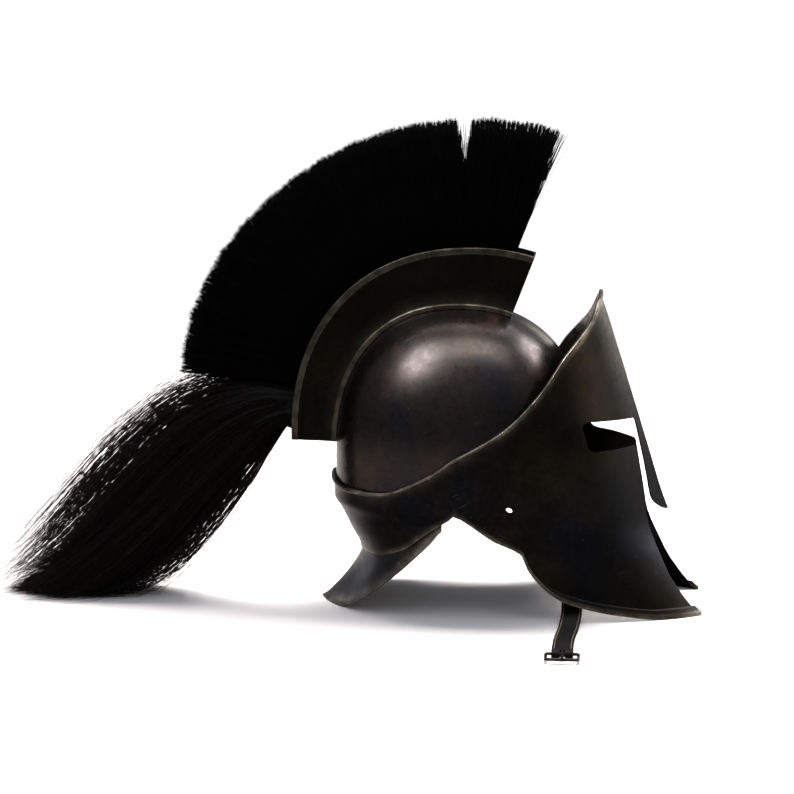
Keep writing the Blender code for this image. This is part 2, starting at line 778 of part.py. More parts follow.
def make_crest_brush(look, root):
    """Fan of stiff hair in locks on a backing in the channel, split near its top."""
    start = (SHEET + GAP + BRUSH_SETBACK) / crest_length()
    end = tail_start() - GAP / crest_length()
    split = start + (end - start) * BRUSH_NOTCH_PLACE
    step = 1e-3
    tips = [hair_point(along, end, BRUSH_LENGTH) for along in (split - step, split + step)]
    edge = BRUSH_NOTCH * step / (tips[1] - tips[0]).length
    stations = [(along, k % 2, 0.0) for k, along in enumerate(spread(2 * BRUSH_LOCKS + 1, start, end))]
    stations = [station for station in stations if abs(station[0] - split) > edge * 1.5]
    stations += [(split - edge, 1, 0.0), (split, 1, BRUSH_NOTCH_DEPTH), (split + edge, 1, 0.0)]
    loops = []
    for along, ridge, missing in sorted(stations):
        reach = BRUSH_LENGTH * read(BRUSH, "length", along / end) - missing
        reach *= 1.0 if ridge else LOCK_VALLEY_REACH
        half = (BOX_WIDTH / 2 - SHEET - 2 * GAP) * (1.0 if ridge else LOCK_VALLEY_HALF)
        backing = [crest_point(along, y, height) for y, height in backing_section(along)]
        sides = []
        for share, width in LOCK_PROFILE:
            middle = hair_point(along, end, reach * share - BLOCK_DEPTH * (1 - share))
            sides.append((middle, Vector((0.0, half * width, 0.0))))
        hair = [middle + out for middle, out in sides] + [middle - out for middle, out in reversed(sides)]
        loops.append(backing[:1] + hair + backing[1:])
    return finish("crest_brush", loft(loops, False), look, root)


def hair_point(along, end, reach):
    """Point of the hair in the middle plane, a reach above the edge of the crest box."""
    lean = math.radians(read(BRUSH, "lean", along / end))
    normal = crest_normal(along)
    x = normal.x * math.cos(lean) - normal.z * math.sin(lean)
    z = normal.x * math.sin(lean) + normal.z * math.cos(lean)
    root_point = crest_point(along, 0.0, box_height(along) - BLOCK_DEPTH)
    return root_point + Vector((x, 0.0, z)) * (reach + BLOCK_DEPTH)


def tail_point(level, share):
    """Point of the tail's route in the middle plane: level 0 along its underside, 1 along its top."""
    block_end = 1 - (SHEET + GAP) / crest_length()
    along = block_end + (tail_start() - block_end) * (TAIL_MARGIN + (1 - 2 * TAIL_MARGIN) * level)
    mouth = crest_point(along, 0.0, box_height(along) + TAIL_RISE)
    curve = (
        mouth,
        tail_handle(mouth, read(TAIL, "out_near", level), read(TAIL, "up_near", level)),
        tail_handle(mouth, read(TAIL, "out_far", level), read(TAIL, "up_far", level)),
        tail_handle(mouth, read(TAIL, "end", level), 0.0),
    )
    return bezier(curve, share)


def tail_handle(mouth, out, up):
    """Point behind the tail's mouth, by shares of its reach and of the mouth's height."""
    return Vector((mouth.x - TAIL_REACH * out, 0.0, mouth.z * up))


def tail_half(share):
    """Half of the tail's width at a share of its length."""
    inside = BOX_WIDTH / 2 - SHEET - 2 * GAP
    return inside + (TAIL_SPREAD - inside) * share


def make_crest_tail(look, root):
    """Loose hank at the rear of the channel: a lobed body that droops to the floor and ends in locks."""
    start = tail_start() + GAP / crest_length()
    end = 1 - (SHEET + GAP) / crest_length()
    block_top = [crest_point(along, 0.0, box_height(along) - BLOCK_DEPTH * 1.5) for along in (end, start)]
    stations = [(block_top[0], block_top[1], 0.0, 1.0)]
    for share, fullness in TAIL_BODY:
        stations.append((tail_point(0.0, share), tail_point(1.0, share), share, fullness))
    loops = []
    for low, high, share, fullness in stations:
        middle, rise = (low + high) / 2, (high - low) / 2
        loop = []
        for corner in range(2 * TAIL_LOBES):
            angle = math.pi * (corner + 0.5) / TAIL_LOBES
            reach = fullness * (1.0 if corner % 2 else TAIL_VALLEY)
            out = Vector((0.0, tail_half(share) * math.cos(angle), 0.0))
            point = middle + (rise * math.sin(angle) + out) * reach
            loop.append(Vector((point.x, point.y, max(point.z, 0.0))))
        loops.append(loop)
    body = finish("crest_tail_body", loft(loops, False), look, root)
    tail = finish("crest_tail", channel_block(start, end), look, root)
    cut(tail, body, "UNION")
    for k, (level, across, tip) in enumerate(TAIL_LOCKS):
        points, radii = [], []
        for share in spread(6, LOCK_START, 1.0):
            free = (share - LOCK_START) / (1 - LOCK_START)
            radius = TAIL_LOCK * (1 - LOCK_THINNING * free**2)
            point = tail_point(level, share * tip)
            point.y = across * tail_half(share) * (LOCK_GATHER + (1 - LOCK_GATHER) * free)
            point.z = max(point.z, radius * 0.9)
            points.append(point)
            radii.append(radius)
        cut(tail, finish(f"crest_tail_lock_{k:02d}", strand(points, radii, radii), look, root), "UNION")
    return tail


def strap_line():
    """Distance from the middle plane of a strap's middle layer where it hangs inside the cheek guard."""
    front = STRAP_AHEAD + STRAP_WIDTH / 2
    heights = spread(9, HEM_BAND * 2, STRAP_TOP)
    return min(wall_at(front, height, 2 * GAP) for height in heights) - STRAP_THICK / 2


def smooth_path(knots, steps):
    """Curve through knots, a few points to each stretch."""
    path = []
    for k in range(len(knots) - 1):
        before, here = knots[max(k - 1, 0)], knots[k]
        after, beyond = knots[k + 1], knots[min(k + 2, len(knots) - 1)]
        for step in range(steps):
            t = step / steps
            bend = (2 * before - 5 * here + 4 * after - beyond) * t * t
            twist = (3 * here - before - 3 * after + beyond) * t**3
            path.append((2 * here + (after - before) * t + bend + twist) / 2)
    return path + [knots[-1]]


def strap_path(end):
    """Middle line of a strap: down inside the cheek guard, under its hem and out along the floor.

    Its points are (distance from the middle plane, height).
    """
    hang = strap_line()
    flat = STRAP_THICK / 2
    hem = edge_height(shell_at(STRAP_AHEAD, STRAP_WIDTH)) - HEM_RADIUS
    landing = hang + STRAP_TURN
    knots = [(hang, STRAP_TOP), (hang, STRAP_TOP * 0.62), (hang, hem + STRAP_THICK * 3)]
    knots += [(hang + STRAP_TURN * bend.out, hem * bend.height + flat * bend.lift) for bend in STRAP_BEND]
    knots += [(landing, flat), ((landing + end) / 2, flat), (end, flat)]
    return smooth_path([Vector(knot) for knot in knots], 3)


def strap_ahead(out):
    """Middle of the strap's width at a distance from the middle plane, with its drift to the rear."""
    start, end = strap_line(), buckle_bar().x - FOLD_LENGTH * FOLD_LEAD
    share = min(max((out - start) / (end - start), 0.0), 1.0)
    return STRAP_AHEAD - STRAP_DRIFT * share * share * (3 - 2 * share)


def band(path, side, taper):
    """Flat strap along a path, with the last points narrowed to a round tip when it has a taper."""
    length = [0.0]
    for a, b in zip(path, path[1:]):
        length.append(length[-1] + (b - a).length)
    loops = []
    for k, point in enumerate(path):
        ahead = (path[min(k + 1, len(path) - 1)] - path[max(k - 1, 0)]).normalized()
        across = Vector((-ahead.y, ahead.x)) * (STRAP_THICK / 2)
        left = length[-1] - length[k]
        half = STRAP_WIDTH / 2
        if taper and left < half:
            half *= 0.35 + 0.65 * math.sqrt(1 - (1 - left / half) ** 2)
        middle = strap_ahead(point.x)
        corners = ((half, across), (half, -across), (-half, -across), (-half, across))
        loop = [(middle + x, side * (point + offset).x, (point + offset).y) for x, offset in corners]
        loops.append([Vector((x, y, max(z, 0.0))) for x, y, z in loop])
    return loft(loops, False)


def make_strap_left(look, root):
    """Plain half of the chin strap, with a round tip and a row of punched holes."""
    path = strap_path(STRAP_REACH)
    tip = STRAP_WIDTH / 2
    ends = [path[-2].lerp(path[-1], share) for share in (0.4, 0.7, 0.85, 0.95)]
    strap = finish("strap_left", band(path[:-1] + ends + path[-1:], 1, True), look, root)
    for k in range(PUNCH_COUNT):
        y = STRAP_REACH - tip - PUNCH_PITCH * (k + 1)
        ahead = strap_ahead(y)
        start, end = (ahead, y, -STRAP_THICK), (ahead, y, STRAP_THICK * 2)
        cut(strap, rod(f"cut_punch_{k}", start, end, PUNCH_RADIUS, look, root, 8))
    return cut_stud_hole(strap, 1, look, root)


def cut_stud_hole(strap, side, look, root):
    """Cuts the hole that the stud goes through."""
    hang = strap_line()
    start = (STRAP_AHEAD, side * (hang - STRAP_THICK * 2), STUD_HEIGHT)
    end = (STRAP_AHEAD, side * (hang + STRAP_THICK * 2), STUD_HEIGHT)
    name = f"cut_stud_hole_{'left' if side > 0 else 'right'}"
    return cut(strap, rod(name, start, end, STUD_RADIUS + GAP, look, root))


def make_strap_right(look, root):
    """Buckle half of the chin strap, folded back under itself round the buckle's bar."""
    bar = buckle_bar()
    wrap = BUCKLE_WIRE + BAR_FIT + STRAP_THICK / 2
    upper = STRAP_THICK * 1.5 + GAP
    out = bar.x
    path = strap_path(out - FOLD_LENGTH * FOLD_LEAD)
    path += [Vector((out - FOLD_LENGTH * share, upper)) for share in (1.12, 0.80, 0.45)]
    for degrees in (106, 80, 54, 28, 2, -24, -50, -76, -90):
        angle = math.radians(degrees)
        path.append(bar + Vector((math.cos(angle), math.sin(angle))) * wrap)
    path += [Vector((out - FOLD_LENGTH * share, STRAP_THICK / 2)) for share in (0.5, 1.0)]
    strap = finish("strap_right", band(path, -1, False), look, root)
    reach = prong_radius() + PRONG_RADIUS + GAP
    bm = bmesh.new()
    bmesh.ops.create_cube(bm, size=1.0)
    bmesh.ops.scale(bm, vec=(PRONG_RADIUS * 5, reach * 2.6, reach * 4), verts=bm.verts)
    bmesh.ops.translate(bm, vec=(buckle_ahead(), -bar.x, bar.y), verts=bm.verts)
    cut(strap, finish("cut_prong_slot", bm, look, root))
    return cut_stud_hole(strap, -1, look, root)


def buckle_bar():
    """Middle of the buckle's bar in (distance from the middle plane, height)."""
    return Vector((STRAP_REACH - BUCKLE_LENGTH - BUCKLE_WIRE, BUCKLE_WIRE + BAR_FIT + STRAP_THICK))


def buckle_ahead():
    """Middle of the buckle's width."""
    return STRAP_AHEAD - STRAP_DRIFT


def prong_radius():
    """Radius of the prong's hook round the bar, at the middle of its wire."""
    return BUCKLE_WIRE + GAP + PRONG_RADIUS


def wire_ring(points, radius, sides, ring):
    """Round wire along points that lie in one plane or near it."""
    loops = []
    count = len(points)
    for k, point in enumerate(points):
        before = points[(k - 1) % count] if ring else points[max(k - 1, 0)]
        after = points[(k + 1) % count] if ring else points[min(k + 1, count - 1)]
        ahead = (after - before).normalized()
        side = Vector((1.0, 0.0, 0.0)) if not ring else Vector((0.0, 0.0, 1.0))
        other = ahead.cross(side).normalized()
        angles = [2 * math.pi * (corner + 0.5) / sides for corner in range(sides)]
        spokes = [side * math.cos(angle) + other * math.sin(angle) for angle in angles]
        loops.append([point + spoke * radius for spoke in spokes])
    return loft(loops, ring)


def make_buckle_frame(look, root):
    """Rectangular wire frame whose near bar lies in the strap's fold."""
    bar = buckle_bar()
    half = BUCKLE_WIDTH / 2 - BUCKLE_WIRE
    near, far = bar.x, bar.x + BUCKLE_LENGTH
    corners = ((-half, near, 0.003), (half, near, 0.003), (half, far, 0.003), (-half, far, 0.003))
    outline = rounded(corners, 4)
    points = [Vector((buckle_ahead() + p.x, -p.y, bar.y)) for p in outline]
    return finish("buckle_frame", wire_ring(points, BUCKLE_WIRE, 8, True), look, root)


def make_buckle_prong(look, root):
    """Prong hooked round the buckle's bar and resting on its far side."""
    bar = buckle_bar()
    ahead = buckle_ahead()
    reach = prong_radius()
    points = []
    for degrees in range(-200, 91, 29):
        angle = math.radians(degrees)
        turn = Vector((math.cos(angle), math.sin(angle))) * reach
        points.append(Vector((ahead, -(bar.x - turn.x), bar.y + turn.y)))
    for share in (0.5, 1.0, 1.12):
        points.append(Vector((ahead, -(bar.x + BUCKLE_LENGTH * share), bar.y + reach)))
    return finish("buckle_prong", wire_ring(points, PRONG_RADIUS, 6, False), look, root)


def make_strap_stud(name, side, look, root):
    """Stud inside the cheek guard that carries the strap: its shank goes through the strap to a head."""
    near = strap_line() - STRAP_THICK / 2 - GAP
    sections = (
        (near - STUD_HEAD_THICK, STUD_HEAD * 0.8),
        (near - STUD_HEAD_THICK * 0.6, STUD_HEAD),
        (near, STUD_HEAD),
        (near, STUD_RADIUS),
        (None, STUD_RADIUS),
    )
    loops = []
    for y, radius in sections:
        loop = []
        for corner in range(STUD_SIDES):
            angle = 2 * math.pi * corner / STUD_SIDES
            x, z = STRAP_AHEAD + radius * math.cos(angle), STUD_HEIGHT + radius * math.sin(angle)
            out = wall_at(x, z, 2 * GAP) if y is None else y
            loop.append(Vector((x, side * out, z)))
        loops.append(loop)
    return finish(name, loft(loops, False), look, root)


def build():
    """Builds the helmet from an empty scene."""
    for old in list(bpy.data.objects):
        bpy.data.objects.remove(old, do_unlink=True)
    root = bpy.data.objects.new("helmet", None)
    root.location = (-MIDDLE, 0.0, 0.0)
    bpy.context.collection.objects.link(root)
    steel = material("blackened steel", (0.030, 0.028, 0.024), 0.9, 0.42)
    crest_steel = material("dull crest steel", (0.022, 0.020, 0.016), 0.8, 0.55)
    hair = material("black hair", (0.004, 0.004, 0.004), 0.0, 0.7)
    leather = material("dark strap leather", (0.020, 0.014, 0.010), 0.0, 0.6)
    hardware = material("dark buckle steel", (0.040, 0.038, 0.034), 0.9, 0.45)
    make_bowl(steel, root)
    make_face_shell(steel, root)
    make_neck_guard(steel, root)
    make_crest_box(crest_steel, root)
    make_crest_brush(hair, root)
    make_crest_tail(hair, root)
    make_strap_right(leather, root)
    make_strap_left(leather, root)
    make_strap_stud("strap_stud_right", -1, hardware, root)
    make_strap_stud("strap_stud_left", 1, hardware, root)
    make_buckle_frame(hardware, root)
    make_buckle_prong(hardware, root)


build()
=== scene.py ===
"""Dress and studio of a crested Greek helmet in blackened steel.

Sizes are metres. The helmet's own coordinates have X = 0 at the middle of the bowl, and each piece is
moved by SHIFT to the frame's when it is set out. The helmet faces +X and its left side is at +Y.
"""

import logging
import math
from dataclasses import dataclass
from enum import Enum
from functools import cached_property
from itertools import product
from typing import Callable, NamedTuple

import bmesh
import bpy
import numpy as np
from mathutils import Matrix, Vector
from mathutils.kdtree import KDTree


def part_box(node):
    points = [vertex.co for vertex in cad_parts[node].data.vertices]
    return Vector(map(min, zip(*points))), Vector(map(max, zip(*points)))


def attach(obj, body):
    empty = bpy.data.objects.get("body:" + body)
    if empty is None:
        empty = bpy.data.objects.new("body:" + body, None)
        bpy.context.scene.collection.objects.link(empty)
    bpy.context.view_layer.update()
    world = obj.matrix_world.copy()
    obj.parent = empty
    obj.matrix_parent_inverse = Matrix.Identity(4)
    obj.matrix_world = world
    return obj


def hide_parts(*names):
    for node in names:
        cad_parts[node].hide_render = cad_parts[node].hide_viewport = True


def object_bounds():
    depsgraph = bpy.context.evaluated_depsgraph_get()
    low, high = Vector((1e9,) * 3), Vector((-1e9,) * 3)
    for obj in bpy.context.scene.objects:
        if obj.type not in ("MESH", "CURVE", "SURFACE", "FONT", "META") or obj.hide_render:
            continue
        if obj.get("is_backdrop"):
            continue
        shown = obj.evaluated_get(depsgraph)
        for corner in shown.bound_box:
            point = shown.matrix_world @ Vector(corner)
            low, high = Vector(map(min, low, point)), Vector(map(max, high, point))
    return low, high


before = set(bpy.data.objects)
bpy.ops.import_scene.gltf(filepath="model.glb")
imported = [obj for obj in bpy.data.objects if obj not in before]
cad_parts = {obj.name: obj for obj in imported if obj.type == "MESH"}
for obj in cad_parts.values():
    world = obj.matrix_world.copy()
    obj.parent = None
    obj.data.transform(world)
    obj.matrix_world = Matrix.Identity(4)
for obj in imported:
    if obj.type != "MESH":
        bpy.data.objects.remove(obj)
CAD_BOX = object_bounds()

Body = bmesh.types.BMesh
Socket = bpy.types.NodeSocket
Strands = tuple[np.ndarray, np.ndarray, np.ndarray]  # paths, half thicknesses and tones

LOG = logging.getLogger("helmet")
MM = 0.001
MERGE = 1e-6  # points closer than this are one
STRIDE = 1e-4  # step over which a surface's direction is measured
SHARP = math.radians(38)  # edges past this angle stay sharp
RUB = 3.5 * MM  # how far rubbing reaches from an edge


class Slot(Enum):
    """Material slots of the record, one named for each piece."""

    BLACKENED_STEEL = "blackened_steel"
    CREST_STEEL = "crest_steel"
    HAIR = "hair"
    STRAP_LEATHER = "strap_leather"
    BUCKLE_STEEL = "buckle_steel"


class Side(Enum):
    """Side of the helmet, with the sign of its Y."""

    LEFT = 1
    RIGHT = -1


class Lit(Enum):
    """What a light falls on: windows that the metal mirrors, or the lamp that whitens the floor."""

    METAL = "metal"
    FLOOR = "floor"


class Level(NamedTuple):
    """One level section of the front of the face shell, in shares of named sizes."""

    height: float  # of the brow's height
    keel: float  # foremost point, of the face's reach
    nose: float  # first handle of the section's curve, of the face's reach
    bridge: float  # breadth of that handle, of the shell's half width
    corner: float  # second handle, of the face's reach
    half: float  # half width, of the shell's


class Along(NamedTuple):
    """A height at a place along the shell: 0 at the keel, 1 at the ear, 2 at the nape."""

    place: float
    share: float


class Hair(NamedTuple):
    """Hair of the brush at a place along it, 0 at the front and 1 at the rear."""

    place: float
    lean: float  # degrees towards the rear of square to the bowl
    length: float  # of the brush's length


class Hank(NamedTuple):
    """Route of the tail's hair, from its lowest locks at 0 to its top ones at 1."""

    level: float
    out_near: float  # first handle behind the crest box, of the tail's reach
    up_near: float  # its height, of the height of the tail's mouth
    out_far: float  # second handle
    up_far: float
    end: float  # tip behind the crest box


class Spot(NamedTuple):
    """A darker, duller brown patch of a plate, in the helmet's coordinates."""

    ahead: float
    across: float
    height: float
    radius: float
    strength: float


def table(kind: type, *rows: tuple[float, ...]) -> tuple:
    """Rows of numbers as rows of one kind."""
    return tuple(kind(*row) for row in rows)


def read(rows: tuple[NamedTuple, ...], column: str, at: float) -> float:
    """Reads a table between its rows, on a curve that never overshoots.

    Args:
        rows: Table whose first column rises.
        column: Name of the column that is read.
        at: Place in the first column.

    Returns:
        The column's value there.
    """
    if at <= rows[0][0]:
        return getattr(rows[0], column)
    if at >= rows[-1][0]:
        return getattr(rows[-1], column)
    k = max(i for i in range(len(rows) - 1) if rows[i][0] <= at)

    def slope(j: int) -> float:
        """Slope of the stretch after row j."""
        return (getattr(rows[j + 1], column) - getattr(rows[j], column)) / (rows[j + 1][0] - rows[j][0])

    def tangent(j: int) -> float:
        """Slope of the curve at row j."""
        if j == 0 or j == len(rows) - 1:
            return slope(min(j, len(rows) - 2))
        before, after = slope(j - 1), slope(j)
        return 0.0 if before * after <= 0 else 2 * before * after / (before + after)

    width = rows[k + 1][0] - rows[k][0]
    t = (at - rows[k][0]) / width
    low = getattr(rows[k], column)
    rise = getattr(rows[k + 1], column) - low
    start, end = tangent(k) * width, tangent(k + 1) * width
    return low + t * (start + t * ((3 * rise - 2 * start - end) + t * (start + end - 2 * rise)))


def power(value: float, exponent: float) -> float:
    """Signed power, for super-ellipses."""
    return math.copysign(abs(value) ** exponent, value)


def spread(count: int, start: float, end: float) -> list[float]:
    """Evenly spaced values, both ends included."""
    return [start + (end - start) * k / (count - 1) for k in range(count)]


def ease(value: float) -> float:
    """Smooth step from 0 to 1."""
    value = min(max(value, 0.0), 1.0)
    return value * value * (3 - 2 * value)


def bezier(points: tuple, t: float) -> Vector:
    """Point of a cubic curve with two handles.

    Args:
        points: Start, two handles and end.
        t: Share along the curve.

    Returns:
        The point.
    """
    weights = ((1 - t) ** 3, 3 * t * (1 - t) ** 2, 3 * t * t * (1 - t), t**3)
    total = Vector([0.0] * len(points[0]))
    for point, weight in zip(points, weights):
        total += Vector(point) * weight
    return total


def smooth_path(knots: list[Vector], steps: int) -> list[Vector]:
    """Curve through knots.

    Args:
        knots: Points that the curve goes through.
        steps: Points to each stretch.

    Returns:
        Points of the curve, both ends included.
    """
    path = []
    for k in range(len(knots) - 1):
        before, here = knots[max(k - 1, 0)], knots[k]
        after, beyond = knots[k + 1], knots[min(k + 2, len(knots) - 1)]
        for step in range(steps):
            t = step / steps
            bend = (2 * before - 5 * here + 4 * after - beyond) * t * t
            twist = (3 * here - before - 3 * after + beyond) * t**3
            path.append((2 * here + (after - before) * t + bend + twist) / 2)
    return path + [knots[-1]]


def rounded(corners: tuple, steps: int) -> list[Vector]:
    """Closed outline with rounded corners.

    Args:
        corners: (first, second, radius) of each corner.
        steps: Points to each rounded corner.

    Returns:
        Points of the outline.
    """
    outline = []
    for k, (y, z, radius) in enumerate(corners):
        here = Vector((y, z))
        if not radius:
            outline.append(here)
            continue
        before = Vector(corners[k - 1][:2]) - here
        after = Vector(corners[(k + 1) % len(corners)][:2]) - here
        reach = min(radius, before.length * 0.49, after.length * 0.49)
        start, end = here + before.normalized() * reach, here + after.normalized() * reach
        for t in spread(steps, 0.0, 1.0):
            outline.append(start * (1 - t) ** 2 + here * (2 * t * (1 - t)) + end * t * t)
    return outline


def loft(loops: list[list[Vector]], ring: bool, wear: list[list[float]] | None = None) -> Body:
    """Closed body bent from a grid through loops of equally many points.

    Args:
        loops: Sections of the body.
        ring: Whether the last section joins the first. Otherwise the ends are filled.
        wear: How worn each point is, from 0 to 1, in the same order as the loops.

    Returns:
        The body.
    """
    columns = len(loops) if ring else len(loops) - 1
    rows = len(loops[0])
    bm = bmesh.new()
    worn = bm.verts.layers.float.new("wear")
    bmesh.ops.create_grid(bm, x_segments=columns, y_segments=rows, size=0.5)
    for vert in bm.verts:
        column = round((vert.co.x + 0.5) * columns) % len(loops)
        row = round((vert.co.y + 0.5) * rows) % rows
        vert.co = loops[column][row]
        if wear:
            vert[worn] = wear[column][row]
    bmesh.ops.remove_doubles(bm, verts=bm.verts, dist=MERGE)
    open_edges = [edge for edge in bm.edges if edge.is_boundary]
    if open_edges:
        caps = bmesh.ops.holes_fill(bm, edges=open_edges, sides=0)["faces"]
        bmesh.ops.triangulate(bm, faces=caps, ngon_method="BEAUTY")
    bmesh.ops.recalc_face_normals(bm, faces=bm.faces)
    return bm


@dataclass(frozen=True)
class Plates:
    """Form of the bowl, the face shell and what is fitted to them."""

    sheet: float = 0.0012
    gap: float = 0.0003
    rim_radius: float = 0.0024
    hem_radius: float = 0.0022
    hem_flat: float = 0.0018
    bowl_length: float = 0.251
    bowl_width: float = 0.198
    crown: float = 0.148
    level: float = 0.150
    fullness: float = 2.3
    brow: float = 0.312
    face_reach: float = 0.242
    nape_tuck: float = 0.026
    hem_band: float = 0.009
    hem_flare: float = 0.0022
    hem_row: float = 0.2
    face: tuple[Level, ...] = (
        Level(0.000, 1.115, 1.050, 0.610, 0.815, 0.985),
        Level(0.067, 1.054, 0.960, 0.620, 0.744, 0.955),
        Level(0.144, 0.971, 0.876, 0.600, 0.685, 0.935),
        Level(0.290, 0.865, 0.720, 0.500, 0.630, 0.955),
        Level(0.345, 0.835, 0.690, 0.530, 0.615, 1.000),
        Level(0.529, 0.760, 0.620, 0.620, 0.590, 1.000),
        Level(0.692, 0.694, 0.608, 0.550, 0.500, 0.990),
        Level(0.840, 0.632, 0.587, 0.520, 0.463, 0.965),
        Level(0.930, 0.595, 0.574, 0.500, 0.455, 0.945),
        Level(1.000, 0.562, 0.552, 0.470, 0.446, 0.925),
    )
    rim: tuple[Along, ...] = table(
        Along,
        *((0.000, 1.000), (0.200, 0.974), (0.400, 0.905), (0.570, 0.828), (0.750, 0.688)),
        *((0.935, 0.556), (1.094, 0.458), (1.373, 0.389), (1.610, 0.388), (2.000, 0.411)),
    )
    edge: tuple[Along, ...] = table(
        Along,
        *((0.000, 0.000), (0.480, 0.000), (0.650, 0.045), (0.775, 0.135), (0.836, 0.315)),
        *((0.850, 0.440), (0.920, 0.535), (0.985, 0.664), (1.000, 0.695), (1.020, 0.664)),
        *((1.100, 0.590), (1.300, 0.445), (1.550, 0.385), (2.000, 0.375)),
    )
    nape: tuple[Along, ...] = table(
        Along,
        *((0.000, 1.000), (0.380, 1.000), (0.520, 0.620), (0.650, 0.240), (0.720, 0.000), (1.000, 0.000)),
    )
    bead_steps: int = 16  # facets of a rolled bead
    edge_steps: int = 5  # facets of a plain edge
    groove_width: float = 0.28  # of the line along a bead, in radians
    cheek_end: float = 0.94  # place where a cheek guard's hem has run out
    cheek_fade: float = 0.10
    side_wear: float = 0.6  # rubbing of the outer side beside an edge
    inner_painted_sheen: float = 0.9  # painted reflection in the bare colour on the inner side below the top edge
    inner_sheen_reach: float = 30 * MM

    @property
    def half_length(self) -> float:
        """Half of the bowl's length."""
        return self.bowl_length / 2

    @property
    def half_width(self) -> float:
        """Half of the bowl's width."""
        return self.bowl_width / 2

    @property
    def shell_half(self) -> float:
        """Half of the shell's width."""
        return self.half_width + self.gap + self.sheet

    def rim_height(self, place: float) -> float:
        """Height of the shell's top edge at a place round it."""
        return self.brow * read(self.rim, "share", abs(place))

    def edge_height(self, place: float) -> float:
        """Height of the shell's bottom edge at a place round it."""
        return self.level * read(self.edge, "share", abs(place))

    def bowl_lift(self, height: float) -> float:
        """Meridian angle of a height on the bowl."""
        above = (height - self.level) / self.crown
        return math.asin(above ** (self.fullness / 2)) if above > 0 else above

    def bowl_point(self, turn: float, lift: float, out: float = 0.0) -> Vector:
        """Finds a point of the bowl's outer side.

        Args:
            turn: Angle round the vertical from the front.
            lift: Angle up the meridian.
            out: Distance off that side.

        Returns:
            The point.
        """
        share = 2 / self.fullness
        up = self.crown + out
        narrow = abs(math.cos(lift)) ** share if lift > 0 else 1.0
        height = up * math.sin(lift) ** share if lift > 0 else up * lift
        x = (self.half_length + out) * narrow * power(math.cos(turn), share)
        y = (self.half_width + out) * narrow * power(math.sin(turn), share)
        return Vector((x, y, self.level + height))

    def section(self, place: float, height: float) -> Vector:
        """Finds a point of the shell's outer side.

        Args:
            place: Place round the shell, 0 at the keel, 1 at the ear and 2 at the nape.
            height: Height above the floor.

        Returns:
            The point.
        """
        side, place = math.copysign(1.0, place), abs(place)
        level = height / self.brow
        half = self.shell_half * read(self.face, "half", level)
        if place <= 1:
            curve = (
                (self.face_reach * read(self.face, "keel", level), 0.0),
                (self.face_reach * read(self.face, "nose", level), self.shell_half * read(self.face, "bridge", level)),
                (self.face_reach * read(self.face, "corner", level), half),
                (0.0, half),
            )
            x, y = bezier(curve, place)
        else:
            turn = math.pi / 2 * place
            draw = self.nape_tuck * read(self.nape, "share", height / self.level)
            rear = self.half_length + self.gap + self.sheet
            x = (rear - draw) * power(math.cos(turn), 2 / self.fullness)
            y = half * power(math.sin(turn), 2 / self.fullness)
        return Vector((x, side * y, height))

    def surface(self, place: float, row: float) -> Vector:
        """Finds a point of the shell between its edges.

        Args:
            place: Place round the shell.
            row: 0 at the bottom edge, the hem's row above the hem, 1 at the rim.

        Returns:
            The point.
        """
        low = self.edge_height(place) + self.hem_radius - self.hem_flat
        high = self.rim_height(place)
        if row <= self.hem_row:
            height = low + self.hem_band * row / self.hem_row
        else:
            share = (row - self.hem_row) / (1 - self.hem_row)
            height = low + self.hem_band + (high - low - self.hem_band) * share
        point = self.section(place, height)
        flare = self.hem_flare * max(1 - row / self.hem_row, 0.0) ** 2 * self.cheek_share(place)
        return point + Vector((point.x, point.y, 0.0)).normalized() * flare

    def cheek_share(self, place: float) -> float:
        """1 on the cheek guards, 0 from the ear back."""
        return min(max((self.cheek_end - abs(place)) / self.cheek_fade, 0.0), 1.0)

    def inside(self, place: float, height: float, clearance: float) -> Vector:
        """Finds a point inside the shell's inner side.

        Args:
            place: Place round the shell.
            height: Height above the floor.
            clearance: Distance from the inner side.

        Returns:
            The point.
        """
        across = self.section(place + STRIDE, height) - self.section(place - STRIDE, height)
        up = self.section(place, height + STRIDE) - self.section(place, height - STRIDE)
        return self.section(place, height) - across.cross(up).normalized() * (self.sheet + clearance)

    def place_at(self, ahead: float, height: float, clearance: float | None = None) -> float:
        """Finds the place round the shell's front that has an X.

        Args:
            ahead: The X.
            height: Height above the floor.
            clearance: Distance inside the inner side, or None for the outer side.

        Returns:
            The place.
        """
        low, high = 0.0, 1.0
        for _ in range(40):
            place = (low + high) / 2
            at = self.section(place, height) if clearance is None else self.inside(place, height, clearance)
            if at.x > ahead:
                low = place
            else:
                high = place
        return low

    def wall_at(self, ahead: float, height: float, clearance: float) -> float:
        """Distance from the middle plane to a clearance inside a cheek guard."""
        return self.inside(self.place_at(ahead, height, clearance), height, clearance).y

    def place_of(self, turn: float) -> float:
        """Place along the shell beside a turn of the bowl, counted from the front."""
        if turn >= math.pi / 2:
            return turn / (math.pi / 2)
        return self.place_at(self.half_length * power(math.cos(turn), 2 / self.fullness), self.level)

